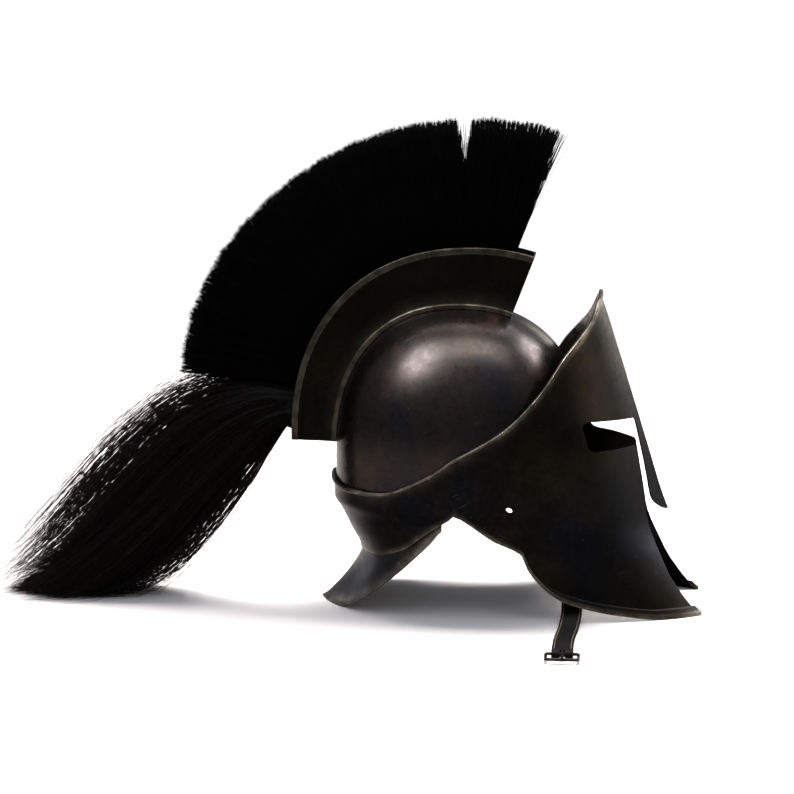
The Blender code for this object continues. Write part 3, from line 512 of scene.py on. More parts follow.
    def roll(
        self, inner: Vector, outward: Vector, onward: Vector, thick: float, radius: float, groove: float
    ) -> list[Vector]:
        """Rolls an edge round a wire.

        Args:
            inner: Last point of the wall's inner side.
            outward: Direction out of the wall.
            onward: Direction in which the wall ends.
            thick: Thickness of the wall at the roll.
            radius: Radius of the roll.
            groove: Depth of the line along the roll's outer side, as a share of the radius.

        Returns:
            Points from the wall's outer side over the edge to its inner one.
        """
        steps = self.bead_steps if radius > self.sheet else self.edge_steps
        middle = inner + outward * radius
        start = math.asin(min((thick - radius) / radius, 1.0))
        points = []
        for angle in spread(steps + 1, start, 1.5 * math.pi):
            off = (angle - math.pi / 2) / self.groove_width
            reach = radius * (1 - groove * math.exp(-(off**2)))
            points.append(middle - onward * (reach * math.cos(angle)) + outward * (reach * math.sin(angle)))
        return points

    def rolled_plate(
        self,
        surface: Callable[[float, float], Vector],
        places: list[float],
        rows: list[float],
        top: Callable[[float], tuple[float, float]],
        hem: Callable[[float], tuple[float, float]],
        ring: bool,
        rub: float = RUB,
        strip: Callable[[float, float], float] = lambda place, row: 0.0,
    ) -> Body:
        """Bends a sheet with rolled edges, the lower one ground flat on the floor.

        Args:
            surface: Gives the outer side at a place and a row.
            places: Places of the sections.
            rows: Rows from the hem at 0 to the top at 1.
            top: Gives the radius and groove of the top roll at a place.
            hem: Gives the radius and groove of the bottom roll.
            ring: Whether the plate closes round the head.
            rub: How far the rubbing of the hem reaches up the plate.
            strip: Gives the thickness of a strip laid over the outer side at a place and a row.

        Returns:
            The plate, with its worn edges and its painted inner reflection marked.
        """
        loops, wear = [], []
        for place in places:
            outer, inner, normals = [], [], []
            for row in rows:
                across = surface(place + STRIDE, row) - surface(place - STRIDE, row)
                up = surface(place, min(row + STRIDE, 1.0)) - surface(place, max(row - STRIDE, 0.0))
                normals.append(across.cross(up).normalized())
                outer.append(surface(place, row))
                inner.append(outer[-1] - normals[-1] * self.sheet)
            top_way = (outer[-1] - outer[-2]).normalized()
            hem_way = (outer[0] - outer[1]).normalized()
            over = self.roll(inner[-1], normals[-1], top_way, self.sheet, *top(place))
            under = self.roll(inner[0], normals[0], hem_way, self.sheet + strip(place, rows[0]), *hem(place))
            outer = [point + normal * strip(place, row) for point, normal, row in zip(outer, normals, rows)]
            loop = outer[1:-1] + over + inner[-2:0:-1] + under[::-1]
            loops.append([Vector((p.x, p.y, max(p.z, 0.0))) for p in loop])
            near_top = [math.exp(-(outer[-1] - p).length / RUB) for p in outer[1:-1]]
            near_hem = [math.exp(-(((p - outer[0]).length / rub) ** 2)) for p in outer[1:-1]]
            side = [max(a, b) * self.side_wear for a, b in zip(near_top, near_hem)]
            # The inner side below the top edge takes the bare colour as a painted reflection.
            below = [(p - inner[-1]).length / self.inner_sheen_reach for p in inner[-2:0:-1]]
            painted_inner_sheen = [self.inner_painted_sheen * math.exp(-(far**2)) for far in below]
            # The rolled beads are marked worn all over: rubbed metal and a painted highlight along the rims.
            wear.append(side + [1.0] * len(over) + painted_inner_sheen + [1.0] * len(under))
        return loft(loops, ring, wear)


PLATES = Plates()
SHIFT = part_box("bowl")[0][0] + PLATES.half_length


def linear(colour: str) -> tuple[float, float, float, float]:
    """Turns an sRGB hex colour to linear.

    Args:
        colour: Six hex digits after a hash.

    Returns:
        Linear red, green and blue, and an alpha of 1.
    """
    values = [int(colour[k : k + 2], 16) / 255 for k in (1, 3, 5)]
    red, green, blue = (v / 12.92 if v <= 0.04045 else ((v + 0.055) / 1.055) ** 2.4 for v in values)
    return red, green, blue, 1.0


def add_node(
    tree: bpy.types.NodeTree, kind: str, inputs: dict[int | str, object], **settings: object
) -> bpy.types.Node:
    """Adds a shader node with its settings and links.

    Args:
        tree: Node tree that gets it.
        kind: Type of the node, without the ShaderNode before it.
        inputs: Value, hex colour or linked socket of each input, by name or place.
        settings: Properties of the node.

    Returns:
        The node.
    """
    node = tree.nodes.new(f"ShaderNode{kind}")
    for name, value in settings.items():
        setattr(node, name, value)
    for key, value in inputs.items():
        if isinstance(value, Socket):
            tree.links.new(value, node.inputs[key])
        else:
            node.inputs[key].default_value = linear(value) if isinstance(value, str) else value
    return node


class Pattern:
    """Node tree of one finish, with the patterns of several nodes that finishes share."""

    def __init__(self, name: str) -> None:
        """Starts a material of that name with a plain shader."""
        self.made = bpy.data.materials.new(name)
        self.made.use_nodes = True
        self.tree = self.made.node_tree
        self.shader = self.tree.nodes["Principled BSDF"]
        self.place = self.add("TexCoord", {}, "Object")

    def add(self, kind: str, inputs: dict[int | str, object], output: int | str = 0, **settings: object) -> Socket:
        """Adds a node to the finish.

        Args:
            kind: Type of the node.
            inputs: Value, hex colour or linked socket of each input.
            output: Name or place of the output that is wanted.
            settings: Properties of the node.

        Returns:
            That output.
        """
        return add_node(self.tree, kind, inputs, **settings).outputs[output]

    def grain(
        self,
        size: float,
        detail: float,
        low: float | None = None,
        high: float = 1.0,
        start: float = 0.0,
        end: float = 1.0,
        stretch: tuple[float, float, float] = (1, 1, 1),
        turn: float = 0.0,
    ) -> Socket:
        """Draws a cloudy grain, or the patches where its value passes from low to high.

        Args:
            size: Width of its grains.
            detail: Levels of finer grain.
            low: Its value at the edge of the patches, or None for the grain itself.
            high: Its value well inside them.
            start: Value given outside the patches.
            end: Value given inside them.
            stretch: How much finer the grain is along each axis.
            turn: Its slant about Y, in radians.

        Returns:
            Its value, which is about 0.5 in the middle for the grain itself.
        """
        turned = self.add("Mapping", {"Vector": self.place, "Rotation": (0.0, turn, 0.0)})
        scaled = self.add("Mapping", {"Vector": turned, "Scale": stretch})
        inputs = {"Vector": scaled, "Scale": 0.5 / size, "Detail": detail, "Roughness": 0.55}
        grain = self.add("TexNoise", inputs, noise_dimensions="3D")
        return grain if low is None else self.add("MapRange", {0: grain, 1: low, 2: high, 3: start, 4: end})

    def layers(self, base: object, *tops: tuple[Socket, object], kind: str = "MIX") -> Socket:
        """Lays colours over one another.

        Args:
            base: Hex colour or socket of the lowest.
            tops: (pattern that it shows in, hex colour or socket) of each one above.
            kind: Blend type of them all.

        Returns:
            The colour.
        """
        for share, top in tops:
            base = self.add("Mix", {0: share, 6: base, 7: top}, 2, data_type="RGBA", blend_type=kind)
        return base

    def spot(self, spot: Spot) -> Socket:
        """Draws a ragged round patch and returns its strength."""
        centre = (spot.ahead + SHIFT, spot.across, spot.height)
        far = self.add("VectorMath", {0: self.place, 1: centre}, "Value", operation="DISTANCE")
        ragged = self.grain(5 * MM, 4, 0.3, 0.7, -0.45 * spot.radius, 0.45 * spot.radius)
        reach = self.add("Math", {0: far, 1: ragged}, operation="ADD")
        return self.add("MapRange", {0: reach, 1: 0.35 * spot.radius, 2: spot.radius, 3: spot.strength, 4: 0.0})

    def bump(self, layers: tuple[tuple[Socket, float], ...]) -> None:
        """Raises the surface by layers of (height from 0 to 1, depth in metres)."""
        under = {}
        for height, depth in layers:
            under = {"Normal": self.add("Bump", {"Height": height, "Distance": depth, **under})}
        self.tree.links.new(under["Normal"], self.shader.inputs["Normal"])

    def shine(self, **sockets: object) -> bpy.types.Material:
        """Sets the shader's sockets by name, with _ for a blank, and returns the material."""
        for name, value in sockets.items():
            socket = self.shader.inputs[name.replace("_", " ")]
            if isinstance(value, Socket):
                self.tree.links.new(value, socket)
            else:
                socket.default_value = value
        return self.made


@dataclass(frozen=True)
class OiledSteel:
    """Hand-raised steel, blackened by heat and oil, then rubbed: dark and satin with brown and blue haze."""

    name: str
    dark: str
    warm: str
    cool: str
    # bare: rubbed metal; on the rims and inside the top edge it is also painted highlight and painted reflection
    bare: str = "#6f6a63"
    gloss: float = 0.30
    haze: float = 0.16
    patchy: float = 1.0
    unevenness: float = 0.22 * MM
    spots: tuple[Spot, ...] = ()
    spot_brown: str = "#2a1710"
    soot: str = "#6b6663"

    def material(self) -> bpy.types.Material:
        """Builds the finish."""
        on = Pattern(self.name)
        # Heat haze in patches as wide as a thumb, from brown to blue-black.
        brown = on.grain(34 * MM, 3, 0.42, 0.62)
        blue = on.grain(48 * MM, 2, 0.50, 0.66, end=0.8, stretch=(1, 1, 0.5))
        colour = on.layers(self.dark, (brown, self.warm), (blue, self.cool))
        # Oil and soot in grains of 3 mm.
        mottle = on.grain(3 * MM, 5)
        soot = on.add("MapRange", {0: mottle, 1: 0.35, 2: 0.75, 4: 0.5 * self.patchy})
        colour = on.layers(colour, (soot, self.soot), kind="MULTIPLY")
        # Fine rubbing scratches 0.6 mm wide and 25 mm long, slanted two ways, here and there.
        first = on.grain(0.6 * MM, 1, 0.68, 0.80, stretch=(0.05, 0.4, 1.0), turn=0.5)
        second = on.grain(0.7 * MM, 1, 0.70, 0.82, stretch=(0.06, 0.4, 1.0), turn=-1.1)
        crossed = on.add("Math", {0: first, 1: second}, operation="MAXIMUM")
        scratch = on.add("Math", {0: crossed, 1: on.grain(22 * MM, 2, 0.50, 0.66)}, operation="MULTIPLY")
        faint = on.add("Math", {0: scratch, 1: 0.16}, operation="MULTIPLY")
        # Grit marks of half a millimetre.
        speck = on.grain(0.9 * MM, 0, 0.86, 0.92, end=0.5)
        marks = on.add("Math", {0: faint, 1: speck}, operation="MAXIMUM")
        # Rolled and folded edges are rubbed to bare metal in places; the same bare colour also gives a painted
        # highlight along the rims and a painted reflection inside the top edge.
        edges = on.add("Attribute", {}, "Fac", attribute_name="wear")
        rubbed = on.add("Math", {0: edges, 1: on.grain(7 * MM, 4, 0.38, 0.62, 0.25, 0.75)}, operation="MULTIPLY")
        colour = on.layers(colour, (marks, self.bare), (rubbed, self.bare))
        rough = on.add("MapRange", {0: mottle, 1: 0.3, 2: 0.7, 3: self.gloss, 4: self.gloss + self.haze})
        polish = on.add("Math", {0: rubbed, 1: 0.16}, operation="MULTIPLY")
        rough = on.add("Math", {0: rough, 1: polish}, operation="SUBTRACT")
        for spot in self.spots:
            brown_patch = on.spot(spot)
            colour = on.layers(colour, (brown_patch, self.spot_brown))
            dulled = on.add("Math", {0: brown_patch, 1: 0.3}, operation="MULTIPLY")
            rough = on.add("Math", {0: rough, 1: dulled}, operation="ADD")
        on.bump(((on.grain(40 * MM, 1), self.unevenness), (mottle, 0.03 * MM), (marks, 0.02 * MM)))
        return on.shine(Base_Color=colour, Metallic=1.0, Roughness=rough)


@dataclass(frozen=True)
class BlackHair:
    """Horsehair dyed black: matt where it stands dense, with faint grey-brown glints on loose strands."""

    name: str
    root: str
    glint: str
    roughness: float
    specular: float

    def material(self) -> bpy.types.Material:
        """Builds the finish, with each strand's own tone."""
        on = Pattern(self.name)
        streak = on.grain(1.2 * MM, 2, stretch=(1, 1, 0.2))
        tone = on.add("Attribute", {}, "Fac", attribute_name="tone")
        streaky = on.add("MapRange", {0: streak, 1: 0.3, 2: 0.7})
        share = on.add("Math", {0: tone, 1: streaky}, operation="MULTIPLY")
        colour = on.layers(self.root, (share, self.glint))
        rough = on.add("MapRange", {0: streak, 1: 0.3, 2: 0.7, 3: self.roughness, 4: self.roughness + 0.15})
        return on.shine(Base_Color=colour, Roughness=rough, Specular_IOR_Level=self.specular)


@dataclass(frozen=True)
class StrapHide:
    """Vegetable-tanned cowhide, dyed black-brown: pebbled grain of about 1 mm with creases across the strap."""

    name: str = "black_brown_strap_leather"
    dye: str = "#050403"
    rubbed: str = "#0c0703"

    def material(self) -> bpy.types.Material:
        """Builds the finish."""
        on = Pattern(self.name)
        inputs = {"Vector": on.place, "Scale": 1 / (1.1 * MM)}
        pebbles = on.add("TexVoronoi", inputs, "Distance", feature="DISTANCE_TO_EDGE")
        grain = on.add("MapRange", {0: pebbles, 1: 0.0, 2: 0.22})
        creases = on.grain(1.6 * MM, 3, 0.45, 0.62, stretch=(0.25, 1.0, 1.0))
        cloud = on.grain(14 * MM, 4)
        paled = on.add("MapRange", {0: cloud, 1: 0.45, 2: 0.68, 4: 0.7})
        edges = on.add("Attribute", {}, "Fac", attribute_name="wear")
        worn = on.add("Math", {0: edges, 1: 0.5}, operation="MULTIPLY")
        colour = on.layers(self.dye, (paled, self.rubbed), (worn, self.rubbed))
        on.bump(((creases, 0.12 * MM), (grain, 0.10 * MM)))
        rough = on.add("MapRange", {0: cloud, 1: 0.3, 2: 0.7, 3: 0.50, 4: 0.68})
        return on.shine(Base_Color=colour, Roughness=rough, IOR=1.5, Specular_IOR_Level=0.07)


@dataclass(frozen=True)
class WaxedThread:
    """Waxed linen thread in old gold, twisted about once a millimetre."""

    name: str = "old_gold_waxed_thread"
    light: str = "#8d6c33"
    dark: str = "#5a421d"

    def material(self) -> bpy.types.Material:
        """Builds the finish."""
        on = Pattern(self.name)
        twist = on.grain(0.5 * MM, 2)
        share = on.add("MapRange", {0: twist, 1: 0.35, 2: 0.65})
        colour = on.layers(self.dark, (share, self.light))
        on.bump(((twist, 0.05 * MM),))
        return on.shine(Base_Color=colour, Roughness=0.6)


@dataclass(frozen=True)
class StudioPaper:
    """Seamless white paper, matt, with the faintest cloud in its tone."""

    name: str = "white_studio_paper"
    glow: str = "#b9b5b1"  # tone that the helmet's underside sees of it

    def material(self) -> bpy.types.Material:
        """Builds the finish."""
        on = Pattern(self.name)
        cloud = on.grain(400 * MM, 2, 0.3, 0.7)
        seen = on.add("LightPath", {}, "Is Camera Ray")
        colour = on.layers(self.glow, (seen, on.layers("#f4f3f3", (cloud, "#f7f6f6"))))
        return on.shine(Base_Color=colour, Roughness=0.8, Specular_IOR_Level=0.2)


def set_out(
    name: str,
    shape: Body | bpy.types.Mesh,
    look: bpy.types.Material,
    slot: Slot,
    nodes: tuple[str, ...] = (),
) -> bpy.types.Object:
    """Makes a finished piece that rides on the helmet.

    Args:
        name: Name of the piece.
        shape: Its shape in the helmet's coordinates.
        look: Its material.
        slot: Record slot of its finish; not used.
        nodes: Frame nodes that it stands for.

    Returns:
        The piece.
    """
    mesh = as_mesh(name, shape)
    mesh.materials.clear()
    mesh.materials.append(look)
    mesh.transform(Matrix.Translation((SHIFT, 0.0, 0.0)))
    piece = bpy.data.objects.new(name, mesh)
    bpy.context.collection.objects.link(piece)
    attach(piece, "root")
    if nodes:
        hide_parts(*nodes)
    LOG.info("%s: %d faces, %s", name, len(mesh.polygons), look.name)
    return piece


def as_mesh(name: str, shape: Body | bpy.types.Mesh) -> bpy.types.Mesh:
    """Smoothly shaded mesh of a shape."""
    if isinstance(shape, bpy.types.Mesh):
        return shape
    mesh = bpy.data.meshes.new(name)
    shape.to_mesh(mesh)
    shape.free()
    mesh.shade_smooth()
    mesh.set_sharp_from_angle(angle=SHARP)
    return mesh


def cut_out(shape: Body, cutters: list[Body]) -> bpy.types.Mesh:
    """Cuts bodies out of a shape and carries its worn marks over.

    Args:
        shape: Shape that is cut.
        cutters: Closed bodies that are taken away.

    Returns:
        The cut mesh.
    """
    tree, wear = KDTree(len(shape.verts)), []
    layer = shape.verts.layers.float["wear"]
    for k, vert in enumerate(shape.verts):
        tree.insert(vert.co, k)
        wear.append(vert[layer])
    tree.balance()
    body = bpy.data.objects.new("blank", as_mesh("blank", shape))
    bpy.context.collection.objects.link(body)
    tools = []
    for k, cutter in enumerate(cutters):
        tool = bpy.data.objects.new(f"cutter_{k}", as_mesh(f"cutter_{k}", cutter))
        bpy.context.collection.objects.link(tool)
        boolean = body.modifiers.new(tool.name, "BOOLEAN")
        boolean.operation, boolean.solver, boolean.object = "DIFFERENCE", "EXACT", tool
        tools.append(tool)
    made = bpy.data.meshes.new_from_object(body.evaluated_get(bpy.context.evaluated_depsgraph_get()))
    for done in [body] + tools:
        bpy.data.objects.remove(done)
    for name in [a.name for a in made.attributes if a.name == "wear"]:
        made.attributes.remove(made.attributes[name])
    marks = made.attributes.new("wear", "FLOAT", "POINT")
    marks.data.foreach_set("value", [wear[tree.find(v.co)[1]] for v in made.vertices])
    made.shade_smooth()
    made.set_sharp_from_angle(angle=SHARP)
    return made


def prism(outline: list[Vector], sweep: tuple[float, float, float]) -> Body:
    """Sweeps a flat outline along a vector.

    Args:
        outline: Points of the outline.
        sweep: The vector.

    Returns:
        The closed body.
    """
    bm = bmesh.new()
    face = bm.faces.new([bm.verts.new(point) for point in outline])
    swept = bmesh.ops.extrude_face_region(bm, geom=[face])["geom"]
    bmesh.ops.translate(bm, verts=[v for v in swept if isinstance(v, bmesh.types.BMVert)], vec=sweep)
    bmesh.ops.recalc_face_normals(bm, faces=bm.faces)
    return bm


def rod(start: tuple, end: tuple, radius: float, sides: int) -> Body:
    """Makes a straight round bar.

    Args:
        start: One end.
        end: Other end.
        radius: Its radius.
        sides: Its facets.

    Returns:
        The bar.
    """
    axis = Vector(end) - Vector(start)
    bm = bmesh.new()
    bmesh.ops.create_cone(bm, cap_ends=True, segments=sides, radius1=radius, radius2=radius, depth=axis.length)
    turned = Vector((0, 0, 1)).rotation_difference(axis).to_matrix()
    bmesh.ops.rotate(bm, verts=bm.verts, matrix=turned)
    bmesh.ops.translate(bm, verts=bm.verts, vec=(Vector(start) + Vector(end)) / 2)
    return bm


@dataclass(frozen=True)
class Bowl:
    """Skull dome, tucked inside the face shell and open below."""

    columns: int = 168
    rows: int = 40
    tuck: float = 0.010
    front_edge: float = 0.203
    look: OiledSteel = OiledSteel(
        "rubbed_blackened_steel_of_the_bowl",
        dark="#2a2725",
        warm="#36302c",
        cool="#25272c",
        bare="#8d867c",
        gloss=0.25,
        haze=0.09,
        patchy=0.35,
        spots=(
            # Darker, duller brown patches; the first two lie just below the crest box's front end.
            Spot(0.033, -0.030, 0.292, 0.011, 0.85),
            Spot(0.030, -0.040, 0.284, 0.013, 0.55),
            Spot(-0.060, -0.060, 0.262, 0.009, 0.35),
            Spot(0.076, -0.056, 0.236, 0.010, 0.30),
        ),
    )

    def build(self) -> Body:
        """Bends the dome, with its thickness, round the head."""
        loops, wear = [], []
        for k in range(self.columns):
            turn = 2 * math.pi * k / self.columns
            place = PLATES.place_of(min(turn, 2 * math.pi - turn))
            edge = min(PLATES.rim_height(place) - self.tuck, self.front_edge)
            lifts = spread(self.rows, PLATES.bowl_lift(edge), math.pi / 2)
            outer = [PLATES.bowl_point(turn, lift) for lift in lifts]
            inner = [PLATES.bowl_point(turn, lift, -PLATES.sheet) for lift in reversed(lifts)]
            loops.append(outer + inner)
            wear.append([0.0] * 2 * self.rows)
        return loft(loops, True, wear)

    def set_out(self) -> None:
        """Builds and dresses the bowl."""
        set_out("helmet_bowl", self.build(), self.look.material(), Slot.BLACKENED_STEEL, ("bowl",))


@dataclass(frozen=True)
class FaceShell:
    """Face, cheek guards, side walls and nape in one bent sheet, with the openings cut out."""

    eye_level: float = 0.163
    eye_height: float = 0.031
    eye_reach: float = 0.077
    eye_rounding: float = 0.007
    nasal_root: float = 0.0095
    nasal_leaf: float = 0.019
    nasal_tip: float = 0.096
    cheek_gap_top: float = 0.021
    cheek_gap_low: float = 0.052
    hole_half: tuple[float, float] = (0.0032, 0.0021)
    hole_slant: float = -0.45  # radians
    hole_sides: int = 24
    hole_ahead: float = 0.052
    hole_height: float = 0.111
    groove: float = 0.22
    strip_out: float = 0.0020
    tip: float = 0.2400
    tip_height: float = 0.014
    look: OiledSteel = OiledSteel(
        "blackened_steel_of_the_face_shell",
        dark="#12100d",
        warm="#1c1914",
        cool="#101216",
        # bare: rubbed metal, also a painted highlight on the rim beads and a painted reflection inside the brow
        bare="#746e63",
        gloss=0.32,
    )

    def opening(self) -> list[Vector]:
        """Outline of the eyes, the nasal and the gap of the cheeks, seen from the front."""
        below = -PLATES.hem_radius * 8
        top = self.eye_level + self.eye_height
        mouth = (self.nasal_tip + self.eye_level) / 2
        low, high = self.cheek_gap_low, self.cheek_gap_top
        leaf, root = self.nasal_leaf, self.nasal_root
        half = (
            (low, below, 0),
            (low, self.eye_level * 0.20, 0.030),
            (high + (low - high) * 0.30, self.nasal_tip, 0.030),
            (high, self.eye_level, self.eye_rounding * 0.5),
            (self.eye_reach, self.eye_level + self.eye_height * 0.04, self.eye_rounding),
            (self.eye_reach, top, self.eye_rounding),
            (root, top - self.eye_height * 0.18, self.eye_rounding * 0.4),
            (root + (leaf - root) * 0.35, mouth + self.eye_height * 0.4, 0.020),
            (leaf, self.nasal_tip + self.eye_height * 0.35, 0.009),
            (leaf * 0.25, self.nasal_tip, 0.004),
        )
        other = tuple((-y, z, radius) for y, z, radius in reversed(half))
        return rounded(half + other, 12)

    def hole(self) -> list[Vector]:
        """Outline of the small slanted hole of each side, beyond the right side."""
        outline = []
        for k in range(self.hole_sides):
            angle = 2 * math.pi * k / self.hole_sides
            x, z = self.hole_half[0] * math.cos(angle), self.hole_half[1] * math.sin(angle)
            across, up = math.cos(self.hole_slant), math.sin(self.hole_slant)
            ahead, height = self.hole_ahead + x * across - z * up, self.hole_height + x * up + z * across
            outline.append(Vector((ahead, -PLATES.bowl_width, height)))
        return outline

    def surface(self, place: float, row: float) -> Vector:
        """Outer side of the shell, with a hand-made wave of its rim and the dent by the right side's hole."""
        point = PLATES.surface(place, row)
        wave = math.sin(place * 23) * 0.5 + math.sin(place * 41 + 1.0) * 0.3
        point.z += 0.45 * MM * wave * ease((row - 0.8) / 0.2)
        if place < 0:
            far = (Vector((self.hole_ahead + 0.012, self.hole_height - 0.008)) - Vector((point.x, point.z))).length
            point.y += 0.9 * MM * math.exp(-((far / (7 * MM)) ** 2))
        return point

    def build(self) -> bpy.types.Mesh:
        """Bends the shell and cuts its openings."""
        front = spread(88, 0.0, 0.775) + spread(22, 0.780, 0.96)
        half = front + spread(60, 0.97, 2.0)
        places = [-place for place in half[:0:-1]] + half[:-1]
        rows = spread(7, 0.0, 0.168) + [0.176, 0.184, 0.192, 0.2] + spread(30, 0.22, 1.0)

        def top(place: float) -> tuple[float, float]:
            """Bead along the rim, with its groove."""
            return PLATES.rim_radius, self.groove

        def hem(place: float) -> tuple[float, float]:
            """Bead of the cheek guards, which runs out towards the ear."""
            plain = PLATES.sheet * 0.52
            return plain + (PLATES.hem_radius - plain) * PLATES.cheek_share(place), 0.0

        def strip(place: float, row: float) -> float:
            """Strip along the hem of the cheek guards."""
            return self.strip_out * ease((PLATES.hem_row - row) / 0.03) * PLATES.cheek_share(place)

        shell = PLATES.rolled_plate(self.surface, places, rows, top, hem, True, strip=strip)
        outline = [Vector((self.eye_reach, p.x, p.y)) for p in self.opening()]
        reach = PLATES.bowl_width
        low, high = -reach, self.tip_height
        corners = [(self.tip, -reach, low), (self.tip, reach, low), (self.tip, reach, high), (self.tip, -reach, high)]
        blunt = prism([Vector(corner) for corner in corners], (self.tip, 0, 0))
        cutters = [prism(outline, (PLATES.face_reach * 1.4, 0, 0)), prism(self.hole(), (0, 2 * reach, 0)), blunt]
        return cut_out(shell, cutters)

    def set_out(self) -> None:
        """Builds and dresses the shell, and breaks its sharp edges."""
        piece = set_out("helmet_face_shell", self.build(), self.look.material(), Slot.BLACKENED_STEEL, ("face_shell",))
        bevel = piece.modifiers.new("broken_edges", "BEVEL")
        bevel.width, bevel.segments, bevel.limit_method = 0.22 * MM, 2, "ANGLE"
        bevel.angle_limit, bevel.harden_normals = math.radians(50), False


@dataclass(frozen=True)
class NeckGuard:
    """Flared plate below the nape, lapped inside it."""

    reach: float = 0.040
    lap: float = 0.006
    fit: float = 0.0011
    end: float = 0.053
    fade: float = 0.10
    seam_row: float = 0.8
    rise: float = 1.35
    edge: tuple[Along, ...] = table(
        Along,
        *((1.000, 0.660), (1.060, 0.580), (1.110, 0.500), (1.360, 0.260), (1.700, 0.030), (1.800, 0.000)),
        (2.000, 0.000),
    )
    look: OiledSteel = OiledSteel(
        "blackened_steel_of_the_neck_guard",
        dark="#1b1a18",
        warm="#2c2924",
        cool="#1e2024",
        # bare: rubbed metal, also a painted highlight in the light band along the hem
        bare="#a79f92",
        gloss=0.34,
    )

    def surface(self, swing: float, row: float) -> Vector:
        """Finds a point of the guard's outer side.

        Args:
            swing: Place round the guard, 0 at the nape.
            row: 0 at its hem, 1 at the top of its lap.

        Returns:
            The point.
        """
        place = 2 - abs(swing)
        side = math.copysign(1.0, -swing)
        seam = PLATES.edge_height(place) + PLATES.hem_radius - PLATES.hem_flat
        if row >= self.seam_row:
            rise = self.lap * (row - self.seam_row) / (1 - self.seam_row)
            point = PLATES.inside(place, seam + rise, self.fit)
        else:
            start = PLATES.inside(place, seam, self.fit)
            down = 1 - row / self.seam_row
            low = PLATES.level * read(self.edge, "share", place) + PLATES.hem_radius - PLATES.hem_flat
            out = self.reach * (0.05 + 0.95 * (place - 1) ** 1.8)
            point = start + Vector((start.x, start.y, 0.0)).normalized() * (out * down**self.rise)
            point.z = seam + (low - seam) * down**0.9
        return Vector((point.x, side * point.y, point.z))

    def build(self) -> Body:
        """Bends the guard."""
        swings = spread(121, self.end - 1, 1 - self.end)
        rows = spread(25, 0.0, self.seam_row) + [0.87, 0.94, 1.0]
        plain, bead = PLATES.sheet * 0.52, PLATES.hem_radius

        def hem(swing: float) -> tuple[float, float]:
            """Bead along the hem, which thins out at the guard's ends."""
            return plain + (bead - plain) * min((1 - abs(swing) - self.end) / self.fade, 1.0), 0.12

        # The hem's rubbed band reaches 9 mm up the guard: rubbed metal and a painted highlight along its rim.
        return PLATES.rolled_plate(self.surface, swings, rows, lambda _: (plain, 0.0), hem, False, 9 * MM)

    def set_out(self) -> None:
        """Builds and dresses the guard."""
        set_out("helmet_neck_guard", self.build(), self.look.material(), Slot.BLACKENED_STEEL, ("neck_guard",))


